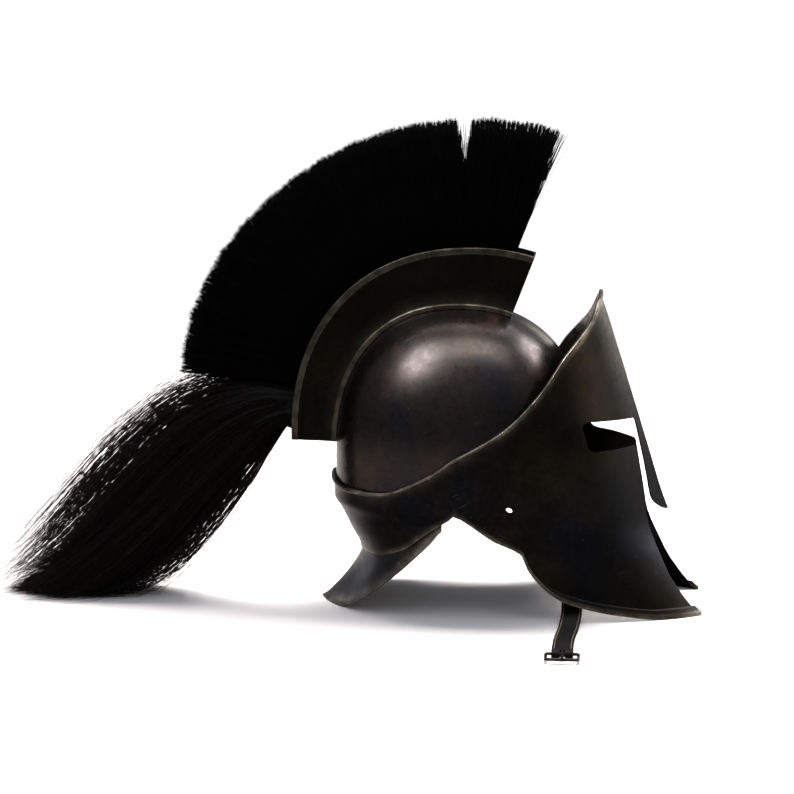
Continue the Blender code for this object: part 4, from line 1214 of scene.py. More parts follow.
@dataclass(frozen=True)
class CrestBox:
    """Curved channel on the bowl with end walls, a foot lip and a folded upper flange."""

    width: float = 0.044
    height_front: float = 0.064
    height_rear: float = 0.045
    rear_rise: float = 0.012
    front: float = 0.398
    flange: float = 0.0065
    flange_out: float = 0.0016
    lip: float = 0.0045
    lip_out: float = 0.0012
    steps: int = 120
    look: OiledSteel = OiledSteel(
        "dull_blackened_steel_of_the_crest_box",
        dark="#0e0d09",
        warm="#12110c",
        cool="#0f0f0b",
        # bare: rubbed metal, also a painted sheen along the foot lip and flange
        bare="#4c483f",
        gloss=0.46,
        haze=0.14,
        unevenness=0.12 * MM,
    )

    def angle(self, along: float) -> float:
        """Angle on the bowl's profile at a share along the box, 0 at its front end."""
        front = math.acos(self.front ** (PLATES.fullness / 2))
        rear = math.pi - math.asin((self.rear_rise / PLATES.crown) ** (PLATES.fullness / 2))
        return front + (rear - front) * along

    def normal(self, along: float) -> Vector:
        """Outward direction of the bowl's profile at a share along the box."""
        angle = self.angle(along)
        power_of = 2 * (PLATES.fullness - 1) / PLATES.fullness
        x = power(math.cos(angle), power_of) / PLATES.half_length
        return Vector((x, 0.0, power(math.sin(angle), power_of) / PLATES.crown)).normalized()

    def point(self, along: float, across: float, height: float) -> Vector:
        """Finds a point over the bowl's crest line.

        Args:
            along: Share along the box.
            across: Breadth off the middle plane.
            height: Height over the bowl.

        Returns:
            The point.
        """
        share = 2 / PLATES.fullness
        angle = self.angle(along)
        narrow = (1 - (abs(across) / PLATES.half_width) ** PLATES.fullness) ** (1 / PLATES.fullness)
        x = PLATES.half_length * power(math.cos(angle), share) * narrow
        z = PLATES.crown * math.sin(angle) ** share * narrow
        return Vector((x, across, PLATES.level + z)) + self.normal(along) * height

    def height(self, along: float) -> float:
        """Height of the box over the bowl."""
        return self.height_front + (self.height_rear - self.height_front) * along

    @cached_property
    def length(self) -> float:
        """Length of the bowl's profile under the box."""
        points = [self.point(along, 0.0, 0.0) for along in spread(60, 0.0, 1.0)]
        return sum((b - a).length for a, b in zip(points, points[1:]))

    @property
    def hair_half(self) -> float:
        """Half of the breadth that hair has between the walls."""
        return self.width / 2 - PLATES.sheet - 2 * PLATES.gap

    @property
    def hair_floor(self) -> float:
        """Height of the hair's backing over the bowl."""
        return PLATES.sheet + 5 * PLATES.gap

    def section(self, along: float, solid: bool) -> tuple[list[tuple[float, float]], list[float]]:
        """Draws the box's section.

        Args:
            along: Share along the box.
            solid: Whether the section is in an end wall.

        Returns:
            Its points as (breadth, height) and how worn each is.
        """
        gap, sheet = PLATES.gap, PLATES.sheet
        half, inside = self.width / 2, self.width / 2 - sheet
        top = gap + self.height(along)
        floor = top - sheet if solid else sheet + 3 * gap
        flange, soft = top - self.flange, 0.35 * MM
        half_out, lip_half = half + self.flange_out, half + self.lip_out
        # Third column: how worn each point is; on the lip and flange this is rubbed metal and a painted sheen.
        right = (
            (lip_half - soft, gap, 0.6),
            (lip_half, gap + soft, 1.0),
            (lip_half, gap + self.lip - soft, 1.0),
            (lip_half - soft, gap + self.lip, 0.8),
            (half, gap + self.lip + self.lip_out, 0.1),
            (half, gap + (top - gap) * 0.35, 0.0),
            (half, gap + (top - gap) * 0.65, 0.0),
            (half, flange - self.flange_out * 1.6, 0.0),
            (half + soft, flange - self.flange_out * 0.5, 0.1),
            (half_out - soft, flange, 0.7),
            (half_out, flange + soft, 1.0),
            (half_out, top - self.flange * 0.5, 0.75),
            (half_out, top - soft, 1.0),
            (half_out - soft, top, 1.0),
            (inside + soft, top, 1.0),
            (inside, top - soft, 1.0),
            (inside, floor, 0.0),
            (half / 2, floor, 0.0),
        )
        left = tuple((-y, height, worn) for y, height, worn in reversed(right))
        bottom = ((-half / 2, 2 * gap, 0.0), (0.0, 2 * gap, 0.0), (half / 2, 2 * gap, 0.0))
        points = right + ((0.0, floor, 0.0),) + left + bottom
        return [(y, height) for y, height, _ in points], [worn for _, _, worn in points]

    def build(self) -> Body:
        """Bends the channel over the bowl."""
        wall = PLATES.sheet / self.length
        face = wall * 1.1
        loops, wear = [], []
        for along in [0.0, wall, face] + spread(self.steps, 0.01, 0.99) + [1 - face, 1 - wall, 1.0]:
            points, worn = self.section(along, along <= wall or along >= 1 - wall)
            loops.append([self.point(along, y, height) for y, height in points])
            wear.append(worn)
        return loft(loops, False, wear)

    def set_out(self) -> None:
        """Builds and dresses the box."""
        set_out("crest_box_channel", self.build(), self.look.material(), Slot.CREST_STEEL, ("crest_box",))


def strand_mesh(name: str, paths: np.ndarray, widths: np.ndarray, tones: np.ndarray) -> bpy.types.Mesh:
    """Joins many strands, each bent from one three-sided cone along its path.

    Args:
        name: Name of the mesh.
        paths: Points of each strand, shaped (strands, points, 3).
        widths: Half thickness at each point, shaped (strands, points).
        tones: Tone of each strand from 0 to 1.

    Returns:
        The mesh.
    """
    count, rings, _ = paths.shape
    cone = bmesh.new()
    bmesh.ops.create_cone(cone, cap_ends=True, segments=3, radius1=1.0, radius2=1.0, depth=rings - 1)
    bmesh.ops.translate(cone, verts=cone.verts, vec=(0, 0, (rings - 1) / 2))
    for ring in range(1, rings - 1):
        geometry = cone.verts[:] + cone.edges[:] + cone.faces[:]
        bmesh.ops.bisect_plane(cone, geom=geometry, plane_co=(0, 0, ring), plane_no=(0, 0, 1))
    cone.verts.index_update()
    shape = np.array([vert.co for vert in cone.verts])
    corners = [[vert.index for vert in face.verts] for face in cone.faces]
    cone.free()
    ring_of = np.rint(shape[:, 2]).astype(int)
    ahead = np.gradient(paths, axis=1)
    ahead /= np.linalg.norm(ahead, axis=2, keepdims=True) + 1e-12
    side = np.cross(ahead, np.array([0.0, 1.0, 0.0]))
    side /= np.linalg.norm(side, axis=2, keepdims=True) + 1e-12
    other = np.cross(ahead, side)
    spokes = side[:, ring_of] * shape[None, :, :1] + other[:, ring_of] * shape[None, :, 1:2]
    points = paths[:, ring_of] + spokes * widths[:, ring_of, None]
    points[..., 2] = np.maximum(points[..., 2], 0.2 * MM)
    flat = np.array([index for face in corners for index in face])
    loops = (np.arange(count)[:, None] * len(shape) + flat[None, :]).ravel()
    starts = np.cumsum([0] + [len(face) for face in corners])[:-1]
    starts = (np.arange(count)[:, None] * len(flat) + starts[None, :]).ravel()
    mesh = bpy.data.meshes.new(name)
    mesh.vertices.add(count * len(shape))
    mesh.vertices.foreach_set("co", points.ravel())
    mesh.loops.add(len(loops))
    mesh.loops.foreach_set("vertex_index", loops)
    mesh.polygons.add(len(starts))
    mesh.polygons.foreach_set("loop_start", starts)
    mesh.update(calc_edges=True)
    mesh.attributes.new("tone", "FLOAT", "POINT").data.foreach_set("value", np.repeat(tones, len(shape)))
    mesh.shade_smooth()
    return mesh


@dataclass(frozen=True)
class CrestBrush:
    """Fan of stiff hair on a backing in the channel, split near its top: a dense core under bare strands."""

    box: CrestBox
    length: float = 0.118
    block_depth: float = 0.010
    setback: float = 0.012
    tail_arc: float = 0.042
    notch: float = 0.015
    notch_depth: float = 0.050
    notch_place: float = 0.165
    core_share: float = 0.95
    widths: tuple[tuple[float, float], ...] = (  # of the core, at shares of its height
        *((0.0, 0.96), (0.1, 0.97), (0.3, 0.95), (0.6, 0.92), (0.85, 0.84), (0.95, 0.66), (1.0, 0.30)),
    )
    flank_strands: int = 5200
    tip_strands: int = 7600
    stray_strands: int = 240
    tufts: int = 128
    hair: tuple[Hair, ...] = (
        Hair(0.00, -7.0, 1.04),
        Hair(0.12, -2.0, 1.04),
        Hair(0.30, 3.0, 1.03),
        Hair(0.60, 3.0, 1.00),
        Hair(0.85, 7.0, 1.02),
        Hair(1.00, 9.0, 1.00),
    )
    look: BlackHair = BlackHair("matt_black_crest_horsehair", "#010101", "#050403", 0.9, 0.02)

    @property
    def ends(self) -> tuple[float, float]:
        """Shares along the box where the brush starts and ends."""
        length = self.box.length
        start = (PLATES.sheet + PLATES.gap + self.setback) / length
        return start, 1 - (self.tail_arc + PLATES.gap) / length

    def root(self, along: float) -> tuple[Vector, Vector]:
        """Finds where hair starts and which way it goes.

        Args:
            along: Share along the box.

        Returns:
            The root in the middle plane and the direction.
        """
        lean = math.radians(read(self.hair, "lean", along / self.ends[1]))
        normal = self.box.normal(along)
        x = normal.x * math.cos(lean) - normal.z * math.sin(lean)
        z = normal.x * math.sin(lean) + normal.z * math.cos(lean)
        return self.box.point(along, 0.0, self.box.height(along) - self.block_depth), Vector((x, 0.0, z))

    def stations(self, count: int) -> np.ndarray:
        """Table of (share along, root x, root z, way x, way z, reach) through the brush."""
        start, end = self.ends
        rows = []
        for along in spread(count, start, end):
            root, way = self.root(along)
            reach = self.length * read(self.hair, "length", along / end) + self.block_depth
            rows.append((along, root.x, root.z, way.x, way.z, reach))
        return np.array(rows)

    def missing(self, along: np.ndarray) -> np.ndarray:
        """Hair that the split takes away at shares along the box."""
        start, end = self.ends
        split = start + (end - start) * self.notch_place
        tips = [self.root(split + step) for step in (-1e-3, 1e-3)]
        pace = (tips[1][0] + tips[1][1] * self.length - tips[0][0] - tips[0][1] * self.length).length / 2e-3
        off = np.abs(along - split) * pace
        return self.notch_depth * np.clip(1 - off / (self.notch * 0.5), 0.0, 1.0)

    def core(self) -> Body:
        """Dense inside of the brush with its backing."""
        half, loops = self.box.hair_half, []
        stations = self.stations(141)
        gone = self.missing(stations[:, 0])
        for k, (along, x, z, way_x, way_z, reach) in enumerate(stations):
            flute = 0.90 + 0.05 * math.sin(k * 1.9) + 0.03 * math.sin(k * 0.7)
            backing = [self.box.point(along, y, self.box.hair_floor) for y in spread(5, -half, half)]
            free = (reach - gone[k]) * self.core_share * (0.985 + 0.015 * math.sin(k * 2.7))
            right, left = [], []
            for share, width in self.widths:
                out = Vector((way_x, 0.0, way_z)) * (free * share)
                middle = Vector((x, 0.0, z)) + out
                y = half * width * (flute if share > 0.15 else 1.0)
                right.append(middle + Vector((0.0, y, 0.0)))
                left.append(middle - Vector((0.0, y, 0.0)))
            loops.append(backing + right + left[::-1])
        return loft(loops, False)

    def strands(self, seed: int, count: int, flank: bool, stray: bool = False) -> Strands:
        """Lays out bare strands.

        Args:
            seed: Seed of their scatter.
            count: Number of strands.
            flank: Whether they lie on the two flat sides, from root to tip. Otherwise they fill the tip.
            stray: Whether they stand off the rest.

        Returns:
            Their paths, half thicknesses and tones.
        """
        rng = np.random.default_rng(seed)
        start, end = self.ends
        along = rng.uniform(start, end, count)
        if stray:
            along = start + (end - start) * rng.uniform(0, 1, count) ** 3
        # Tips draw together into tufts.
        place = (along - start) / (end - start)
        tufts = np.linspace(start, end, self.tufts)
        own_tuft = np.clip(np.rint(place * (self.tufts - 1)), 0, self.tufts - 1).astype(int)
        centres = tufts[own_tuft]
        along_tip = along + (centres - along) * rng.uniform(0.35, 0.90, count)
        astray = np.abs(along - centres) / (tufts[1] - tufts[0]) * 2
        across = rng.uniform(-0.95, 0.95, count)
        if flank:
            across = rng.choice([-1.0, 1.0], count) * rng.uniform(0.90, 1.0, count)
        shares = np.linspace(0.0, 1.0, 7 if stray else 4) if flank else np.linspace(0.62, 1.0, 4)
        stations = self.stations(200)
        columns, tips = (
            [np.interp(at, stations[:, 0], column) for column in stations.T] for at in (along, along_tip)
        )
        # Ragged ends, with a few hairs that stand in the split.
        ragged = np.sin(centres * 410) * 0.003 + np.sin(centres * 1130 + 2.0) * 0.005 - 0.020 * astray**1.5
        gone = self.missing(along) * np.where(rng.uniform(0, 1, count) < 0.05, rng.uniform(0.0, 0.5, count), 1.0)
        reach = (columns[5] - gone) * (0.992 + ragged + rng.normal(0.0, 0.013, count))
        reach = np.minimum(reach, columns[5] * 1.035)
        if stray:
            reach *= rng.uniform(0.80, 1.0, count)
        paths = np.zeros((count, len(shares), 3))
        narrow = np.interp(shares, [0.0, 0.6, 0.93, 1.0], [1.0, 0.95, 0.82, 0.50])
        # Looser hair at both ends of the brush.
        lean = rng.normal(0.0, 0.035 if stray else 0.008, count)
        rear = np.clip(place - 0.90, 0.0, 0.1) * 10
        front = np.clip(0.04 - place, 0.0, 0.04) * 25
        fuzz = np.where(rng.uniform(0, 1, count) < 0.22, rng.uniform(0.0, 0.07, count), -0.012)
        lean += fuzz * front - rng.uniform(0.0, 0.11, count) * rear**2
        bow = rng.normal(0.0, 0.004 if stray else 0.0022, count)
        for k, share in enumerate(shares):
            own = reach * share
            x = columns[1] + columns[3] * own
            z = columns[2] + columns[4] * own
            pull = share**3
            x += (tips[1] + tips[3] * own - x) * pull
            z += (tips[2] + tips[4] * own - z) * pull
            off = (lean * own + bow * math.sin(math.pi * share)) * share
            paths[:, k, 0] = x + columns[4] * off
            paths[:, k, 1] = across * self.box.hair_half * narrow[k] + rng.normal(0.0, 0.5 * MM * share, count)
            paths[:, k, 2] = z - columns[3] * off
        taper = np.linspace(1.0, 0.16, len(shares)) ** 0.7
        widths = rng.uniform(0.36, 0.60, count)[:, None] * MM * taper[None, :]
        if stray:
            widths *= 0.5
        return paths, widths, rng.uniform(0.0, 1.0, count) ** 2

    def set_out(self) -> None:
        """Builds and dresses the brush."""
        look = self.look.material()
        set_out("crest_brush_core", self.core(), look, Slot.HAIR, ("crest_brush",))
        groups = (
            ("flanks", 11, self.flank_strands, True, False),
            ("tips", 12, self.tip_strands, False, False),
            ("strays", 13, self.stray_strands, True, True),
        )
        for name, seed, count, flank, stray in groups:
            mesh = strand_mesh(f"crest_brush_{name}", *self.strands(seed, count, flank, stray))
            set_out(f"crest_brush_{name}", mesh, look, Slot.HAIR)


@dataclass(frozen=True)
class CrestTail:
    """Loose hank at the rear of the channel, which droops to the floor and ends in wisps."""

    box: CrestBox
    block_depth: float = 0.010
    rise: float = 0.005
    arc: float = 0.042
    margin: float = 0.10  # of that arc, outside the lowest and top locks
    reach: float = 0.332
    half_spread: float = 0.050
    lobes: int = 22
    locks: int = 40
    strand_count: int = 7000
    stray_strands: int = 760
    outer_share: float = 0.14
    draw_in: float = 0.34
    route: tuple[Hank, ...] = (
        Hank(0.0, 0.17, 0.59, 0.38, -0.29, 0.77),
        Hank(1.0, 0.44, 1.30, 0.69, 0.29, 1.015),
    )
    look: BlackHair = BlackHair("loose_black_tail_horsehair", "#010101", "#362b22", 0.7, 0.05)

    def point(self, level: float, share: float) -> Vector:
        """Finds a point of the hair's route in the middle plane.

        Args:
            level: 0 along the tail's underside, 1 along its top.
            share: Share of its length.

        Returns:
            The point.
        """
        length = self.box.length
        block_end = 1 - (PLATES.sheet + PLATES.gap) / length
        start = 1 - self.arc / length
        along = block_end + (start - block_end) * (self.margin + (1 - 2 * self.margin) * level)
        mouth = self.box.point(along, 0.0, self.box.height(along) + self.rise)

        def handle(out: str, up: str | None) -> Vector:
            """Point behind the mouth by the table's columns."""
            height = mouth.z * read(self.route, up, level) if up else 0.0
            return Vector((mouth.x - self.reach * read(self.route, out, level), 0.0, height))

        near, far = handle("out_near", "up_near"), handle("out_far", "up_far")
        return bezier((mouth, near, far, handle("end", None)), share)

    def half(self, share: float | np.ndarray) -> float | np.ndarray:
        """Half of the tail's width at a share of its length."""
        return self.box.hair_half + (self.half_spread - self.box.hair_half) * share

    def core(self) -> Body:
        """Dense inside of the tail, from the backing in the channel to its thin end."""
        length = self.box.length
        ends = 1 - (PLATES.sheet + PLATES.gap) / length, 1 - (self.arc - PLATES.gap) / length
        block = [self.box.point(along, 0.0, self.box.height(along) - self.block_depth * 1.5) for along in ends]
        stations = [(block[0], block[1], 0.0, 1.0)]
        for share in spread(22, 0.0, 0.78):
            fullness = 0.98 - 0.40 * ease((share - 0.08) / 0.22) - 0.48 * ease((share - 0.32) / 0.42)
            stations.append((self.point(0.0, share), self.point(1.0, share), share, fullness))
        loops = []
        for k, (low, high, share, fullness) in enumerate(stations):
            lift = (high - low) / 2
            middle = (low + high) / 2 - lift * (0.9 * self.draw_in * share**1.3)
            loop = []
            for corner in range(2 * self.lobes):
                angle = math.pi * (corner + 0.5) / self.lobes
                lobe = 1.0 if corner % 2 else 0.93
                lobe += 0.03 * math.sin(corner * 1.7 + k * 0.15)
                out = Vector((0.0, self.half(share) * math.cos(angle), 0.0))
                point = middle + (lift * math.sin(angle) + out) * (fullness * lobe)
                loop.append(Vector((point.x, point.y, max(point.z, 0.3 * MM))))
            loops.append(loop)
        return loft(loops, False)

    def backing(self) -> Body:
        """Backing of the tail in the channel."""
        length = self.box.length
        half, floor, loops = self.box.hair_half, self.box.hair_floor, []
        start, end = 1 - (self.arc - 2 * PLATES.gap) / length, 1 - (PLATES.sheet + 2 * PLATES.gap) / length
        for along in spread(12, start, end):
            top = self.box.height(along) - self.block_depth
            section = [(y, top) for y in spread(5, half, -half)] + [(y, floor) for y in spread(5, -half, half)]
            loops.append([self.box.point(along, y, height) for y, height in section])
        return loft(loops, False)

    def strands(self, seed: int, count: int, stray: bool) -> Strands:
        """Lays out bare strands along the tail.

        Args:
            seed: Seed of their scatter.
            count: Number of strands.
            stray: Whether they leave the hank.

        Returns:
            Their paths, half thicknesses and tones.
        """
        rng = np.random.default_rng(seed)
        levels, lengths = np.linspace(0, 1, 25), np.linspace(0, 1, 61)
        spots = np.array([[self.point(level, share)[:] for share in lengths] for level in levels])
        angle = rng.uniform(0, 2 * math.pi, count)
        tufts = np.round(angle / (2 * math.pi) * self.locks) / self.locks * 2 * math.pi
        outer = rng.uniform(0, 1, count) < self.outer_share
        radius = np.where(outer, 0.58 + 0.50 * rng.uniform(0, 1, count) ** 1.25, rng.uniform(0.28, 0.70, count))
        if stray:
            outer[:] = True
            radius = rng.uniform(0.72, 1.20, count)
        end = rng.uniform(0.72, 1.0, count) ** 0.8
        start = np.where(rng.uniform(0, 1, count) < 0.55, 0.0, rng.uniform(0.0, 0.5, count))
        rings = 9
        paths = np.zeros((count, rings, 3))
        wander = rng.normal(0.0, 1.0, (count, 4))
        # Strands of a lock sway together, apart from those of the lock outside it.
        lock = (np.rint(angle / (2 * math.pi) * self.locks) + (self.locks + 1) * (radius > 0.80)).astype(int)
        sways = 2 * (self.locks + 2)
        sway = rng.normal(0.0, 1.0, (sways, 3))[lock]
        end *= (0.94 + 0.06 * rng.uniform(0, 1, sways))[lock]
        loose = 2.6 if stray else 1.0
        for k, part in enumerate(np.linspace(0, 1, rings)):
            share = start + (end - start) * part
            turned = angle + (tufts - angle) * 0.7 * share**2 + wander[:, 0] * 0.10 * share * (1 + radius)
            swell = np.minimum(radius, 0.92) + (radius - np.minimum(radius, 0.92)) * np.clip(share / 0.2, 0.0, 1.0)
            drawn = np.where(outer, 0.0, self.draw_in * share**1.3)
            swell = swell * (1 + 0.04 * np.sin(tufts * 9 + share * 5)) * (1 - drawn)
            raised = 0.5 - 0.42 * drawn + 0.5 * np.sin(turned) * swell
            level = np.clip(raised, 0.0, 1.0)
            row, column = level * (len(levels) - 1), share * (len(lengths) - 1)
            r0 = np.minimum(row.astype(int), len(levels) - 2)
            c0 = np.minimum(column.astype(int), len(lengths) - 2)
            fr, fc = (row - r0)[:, None], (column - c0)[:, None]
            low = spots[r0, c0] * (1 - fc) + spots[r0, c0 + 1] * fc
            high = spots[r0 + 1, c0] * (1 - fc) + spots[r0 + 1, c0 + 1] * fc
            paths[:, k] = low * (1 - fr) + high * fr
            paths[:, k, 1] = np.cos(turned) * swell * self.half(share)
            drift = share**1.6 * loose
            wave = np.sin(part * 5 + wander[:, 3] * 3)
            thick = (spots[-1][c0] - spots[0][c0])[:, 2]
            paths[:, k, 2] += (raised - level) * thick
            paths[:, k, 1] += drift * (3.2 * MM * wander[:, 0] + 1.6 * MM * wave) + share**1.4 * 9 * MM * sway[:, 0]
            paths[:, k, 2] += drift * (2.4 * MM * wander[:, 1] + 2.2 * MM * wave) + share**1.4 * 9 * MM * sway[:, 1]
            paths[:, k, 0] += drift * 1.5 * MM * wander[:, 2] + share**1.4 * 5 * MM * sway[:, 2]
        paths[..., 2] = np.maximum(paths[..., 2], 0.6 * MM)
        taper = np.concatenate([np.ones(rings - 3), [0.8, 0.5, 0.12]])
        thin = np.where(outer, 0.50, 1.0)[:, None]
        widths = rng.uniform(0.30, 0.55, count)[:, None] * MM * taper[None, :] * thin
        # Outer strands take more of the glint colour: a painted glint along the tail's loose edges.
        return paths, widths, rng.uniform(0.0, 1.0, count) ** 1.5 * np.where(radius > 0.80, 1.0, 0.25)

    def set_out(self) -> None:
        """Builds and dresses the tail."""
        look = self.look.material()
        set_out("crest_tail_core", self.core(), look, Slot.HAIR, ("crest_tail",))
        set_out("crest_tail_backing", self.backing(), look, Slot.HAIR)
        groups = (
            ("left_locks", 21, self.strand_count // 2, False),
            ("right_locks", 22, self.strand_count // 2, False),
            ("wisps", 23, self.stray_strands, True),
        )
        for name, seed, count, stray in groups:
            mesh = strand_mesh(f"crest_tail_{name}", *self.strands(seed, count, stray))
            set_out(f"crest_tail_{name}", mesh, look, Slot.HAIR)


@dataclass(frozen=True)
class ChinStrap:
    """Unfastened leather chin strap in two stitched halves, on studs inside the cheek guards."""

    width: float = 0.020
    thick: float = 0.0022
    ahead: float = 0.113
    top: float = 0.082
    turn: float = 0.050
    drift: float = 0.006
    reach: float = 0.246
    stud_radius: float = 0.0022
    stud_head: float = 0.0050
    stud_head_thick: float = 0.0016
    stud_height: float = 0.074
    wire: float = 0.0015
    bar_fit: float = 0.0005
    prong: float = 0.0010
    buckle_width: float = 0.033
    buckle_length: float = 0.020
    fold: float = 0.024
    punch_radius: float = 0.0016
    punch_pitch: float = 0.016
    punch_count: int = 4
    stitch_pitch: float = 0.0034
    stitch_inset: float = 0.0022
    thread: float = 0.00034
    hide: StrapHide = StrapHide()
    linen: WaxedThread = WaxedThread()
    steel: OiledSteel = OiledSteel(
        "dark_buckle_steel", dark="#0e0d0b", warm="#15120f", cool="#0e0f11", bare="#4a453d", unevenness=0.03 * MM
    )

    @cached_property
    def line(self) -> float:
        """Distance from the middle plane of a strap's middle layer where it hangs."""
        front = self.ahead + self.width / 2
        heights = spread(9, PLATES.hem_band * 2, self.top)
        return min(PLATES.wall_at(front, height, 2 * PLATES.gap) for height in heights) - self.thick / 2

    @property
    def bar(self) -> Vector:
        """Middle of the buckle's bar in (distance from the middle plane, height)."""
        return Vector((self.reach - self.buckle_length - self.wire, self.wire + self.bar_fit + self.thick))

    @property
    def upper_end(self) -> float:
        """Distance from the middle plane where the right half starts to rise over its fold."""
        return self.bar.x - self.fold * 1.9

    def path(self, end: float) -> list[Vector]:
        """Middle line of a strap: down inside the cheek guard, under its hem and out along the floor.

        Args:
            end: Distance of its outer end from the middle plane.

        Returns:
            Points of (distance from the middle plane, height).
        """
        hang, flat, out = self.line, self.thick / 2, self.turn
        hem = PLATES.edge_height(PLATES.place_at(self.ahead, self.width)) - PLATES.hem_radius
        knots = (
            (hang, self.top),
            (hang, self.top * 0.62),
            (hang, hem + self.thick * 3),
            (hang + out * 0.10, hem * 0.62),
            (hang + out * 0.38, hem * 0.36),
            (hang + out * 0.70, hem * 0.17 + flat * 0.5),
            (hang + out, flat),
            ((hang + out + end) / 2, flat),
            (end, flat),
        )
        return smooth_path([Vector(knot) for knot in knots], 12)

    def middle(self, out: float) -> float:
        """Middle of the strap's width at a distance from the middle plane."""
        return self.ahead - self.drift * ease((out - self.line) / (self.upper_end - self.line))

    def band(self, path: list[Vector], side: Side, taper: bool) -> Body:
        """Bends a flat strap with rounded edges along a path.

        Args:
            path: Points of (distance from the middle plane, height).
            side: Side of the helmet.
            taper: Whether it ends in a round tip.

        Returns:
            The strap.
        """
        left = [0.0]
        for a, b in zip(path[::-1], path[-2::-1]):
            left.append(left[-1] + (a - b).length)
        left.reverse()
        thin, soft = self.thick / 2, 0.5 * MM
        loops, wear = [], []
        for k, point in enumerate(path):
            ahead = (path[min(k + 1, len(path) - 1)] - path[max(k - 1, 0)]).normalized()
            across = Vector((-ahead.y, ahead.x))
            half = self.width / 2
            if taper and left[k] < half:
                half *= 0.35 + 0.65 * math.sqrt(1 - (1 - left[k] / half) ** 2)
            middle = self.middle(point.x)
            sided = (
                (half, thin - soft, 1.0),
                (half - soft, thin, 0.8),
                (half * 0.72, thin, 0.2),
                (half * 0.62, thin * 0.92, 0.1),
            )
            upper = sided + ((0.0, thin * 0.98, 0.0),) + tuple((-x, z, w) for x, z, w in reversed(sided))
            section = upper + tuple((x, -z, w) for x, z, w in reversed(upper))
            loop, worn = [], []
            for x, offset, mark in section:
                spot = point + across * offset
                loop.append(Vector((middle + x, side.value * spot.x, max(spot.y, 0.0))))
                worn.append(mark)
            loops.append(loop)
            wear.append(worn)
        return loft(loops, False, wear)

    def stitches(self, path: list[Vector], side: Side, start: float, end: float) -> Body:
        """Rows of stitches along both edges of a strap, on both of its faces.

        Args:
            path: The strap's path.
            side: Side of the helmet.
            start: Length of strap before the first stitch.
            end: Length of strap after the last stitch.

        Returns:
            The stitches.
        """
        lengths = [0.0]
        for a, b in zip(path, path[1:]):
            lengths.append(lengths[-1] + (b - a).length)
        xs, zs = [p.x for p in path], [p.y for p in path]

        def at_length(length: float) -> tuple[float, float]:
            """Point of the path at a length along it."""
            return float(np.interp(length, lengths, xs)), float(np.interp(length, lengths, zs))

        bm = bmesh.new()
        count = int((lengths[-1] - start - end) / self.stitch_pitch)
        width = self.width / 2 - self.stitch_inset
        for k, face, edge in product(range(count), (1, -1), (1, -1)):
            points = []
            for part in (0.06, 0.28, 0.5, 0.72, 0.94):
                at = start + (k + part * 0.82) * self.stitch_pitch
                x, z = at_length(at)
                (back_x, back_z), (next_x, next_z) = at_length(at - MM), at_length(at + MM)
                normal = Vector((back_z - next_z, next_x - back_x)).normalized()
                lift = self.thick / 2 + self.thread * (1.1 * math.sin(math.pi * part) - 0.35)
                spot = Vector((x, z)) + normal * (face * lift)
                points.append(Vector((self.middle(x) + edge * width, side.value * spot.x, max(spot.y, self.thread))))
            self.add_thread(bm, points)
        bmesh.ops.recalc_face_normals(bm, faces=bm.faces)
        return bm

    def add_thread(self, bm: Body, points: list[Vector]) -> None:
        """Adds one stitch along points: a five-sided cone bent to them."""
        made = bmesh.ops.create_cone(bm, cap_ends=True, segments=5, radius1=1, radius2=1, depth=4)["verts"]
        body = list(made)
        for cut in (-1, 0, 1):
            edges = list({edge for vert in body for edge in vert.link_edges})
            faces = list({face for vert in body for face in vert.link_faces})
            geometry = body + edges + faces
            fresh = bmesh.ops.bisect_plane(bm, geom=geometry, plane_co=(0, 0, cut), plane_no=(0, 0, 1))["geom_cut"]
            body += [v for v in fresh if isinstance(v, bmesh.types.BMVert)]
        for vert in set(body):
            k = round(vert.co.z + 2)
            ahead = points[min(k + 1, 4)] - points[max(k - 1, 0)]
            side = ahead.orthogonal().normalized()
            other = ahead.normalized().cross(side)
            radius = self.thread * (0.55 if k in (0, 4) else 1.0)
            vert.co = points[k] + (side * vert.co.x + other * vert.co.y) * radius

    def wire_ring(self, points: list[Vector], radius: float, sides: int, ring: bool) -> Body:
        """Bends a round wire along points.

        Args:
            points: Middle line of the wire.
            radius: Its radius.
            sides: Its facets.
            ring: Whether it closes.

        Returns:
            The wire.
        """
        loops = []
        count = len(points)
        for k, point in enumerate(points):
            before = points[(k - 1) % count] if ring else points[max(k - 1, 0)]
            after = points[(k + 1) % count] if ring else points[min(k + 1, count - 1)]
            ahead = (after - before).normalized()
            side = Vector((1.0, 0.0, 0.0)) if not ring else Vector((0.0, 0.0, 1.0))
            other = ahead.cross(side).normalized()
            angles = [2 * math.pi * (corner + 0.5) / sides for corner in range(sides)]
            loops.append([point + (side * math.cos(a) + other * math.sin(a)) * radius for a in angles])
        return loft(loops, ring, [[0.6] * sides for _ in loops])

    def left_half(self) -> bpy.types.Mesh:
        """Plain half with a round tip and a row of punched holes."""
        path = self.path(self.reach)
        tip = [path[-2].lerp(path[-1], share) for share in spread(9, 0.1, 0.97)]
        strap = self.band(path[:-1] + tip + path[-1:], Side.LEFT, True)
        cutters = [self.stud_hole(Side.LEFT)]
        for k in range(self.punch_count):
            y = self.reach - self.width / 2 - self.punch_pitch * (k + 1)
            x = self.middle(y)
            cutters.append(rod((x, y, -self.thick), (x, y, self.thick * 2), self.punch_radius, 20))
        return cut_out(strap, cutters)

    def stud_hole(self, side: Side) -> Body:
        """Cutter of the hole that the stud goes through."""
        hang = self.line
        start = (self.ahead, side.value * (hang - self.thick * 2), self.stud_height)
        end = (self.ahead, side.value * (hang + self.thick * 2), self.stud_height)
        return rod(start, end, self.stud_radius + PLATES.gap, 24)

    def upper_path(self) -> list[Vector]:
        """Path of the buckle half as far as the buckle, raised over its own fold."""
        upper, out = self.thick * 1.5 + PLATES.gap, self.bar.x
        path = self.path(self.upper_end)
        raised = [Vector((out - self.fold * share, upper)) for share in (1.12, 0.80, 0.45)]
        return path + smooth_path([path[-1]] + raised, 4)[1:]

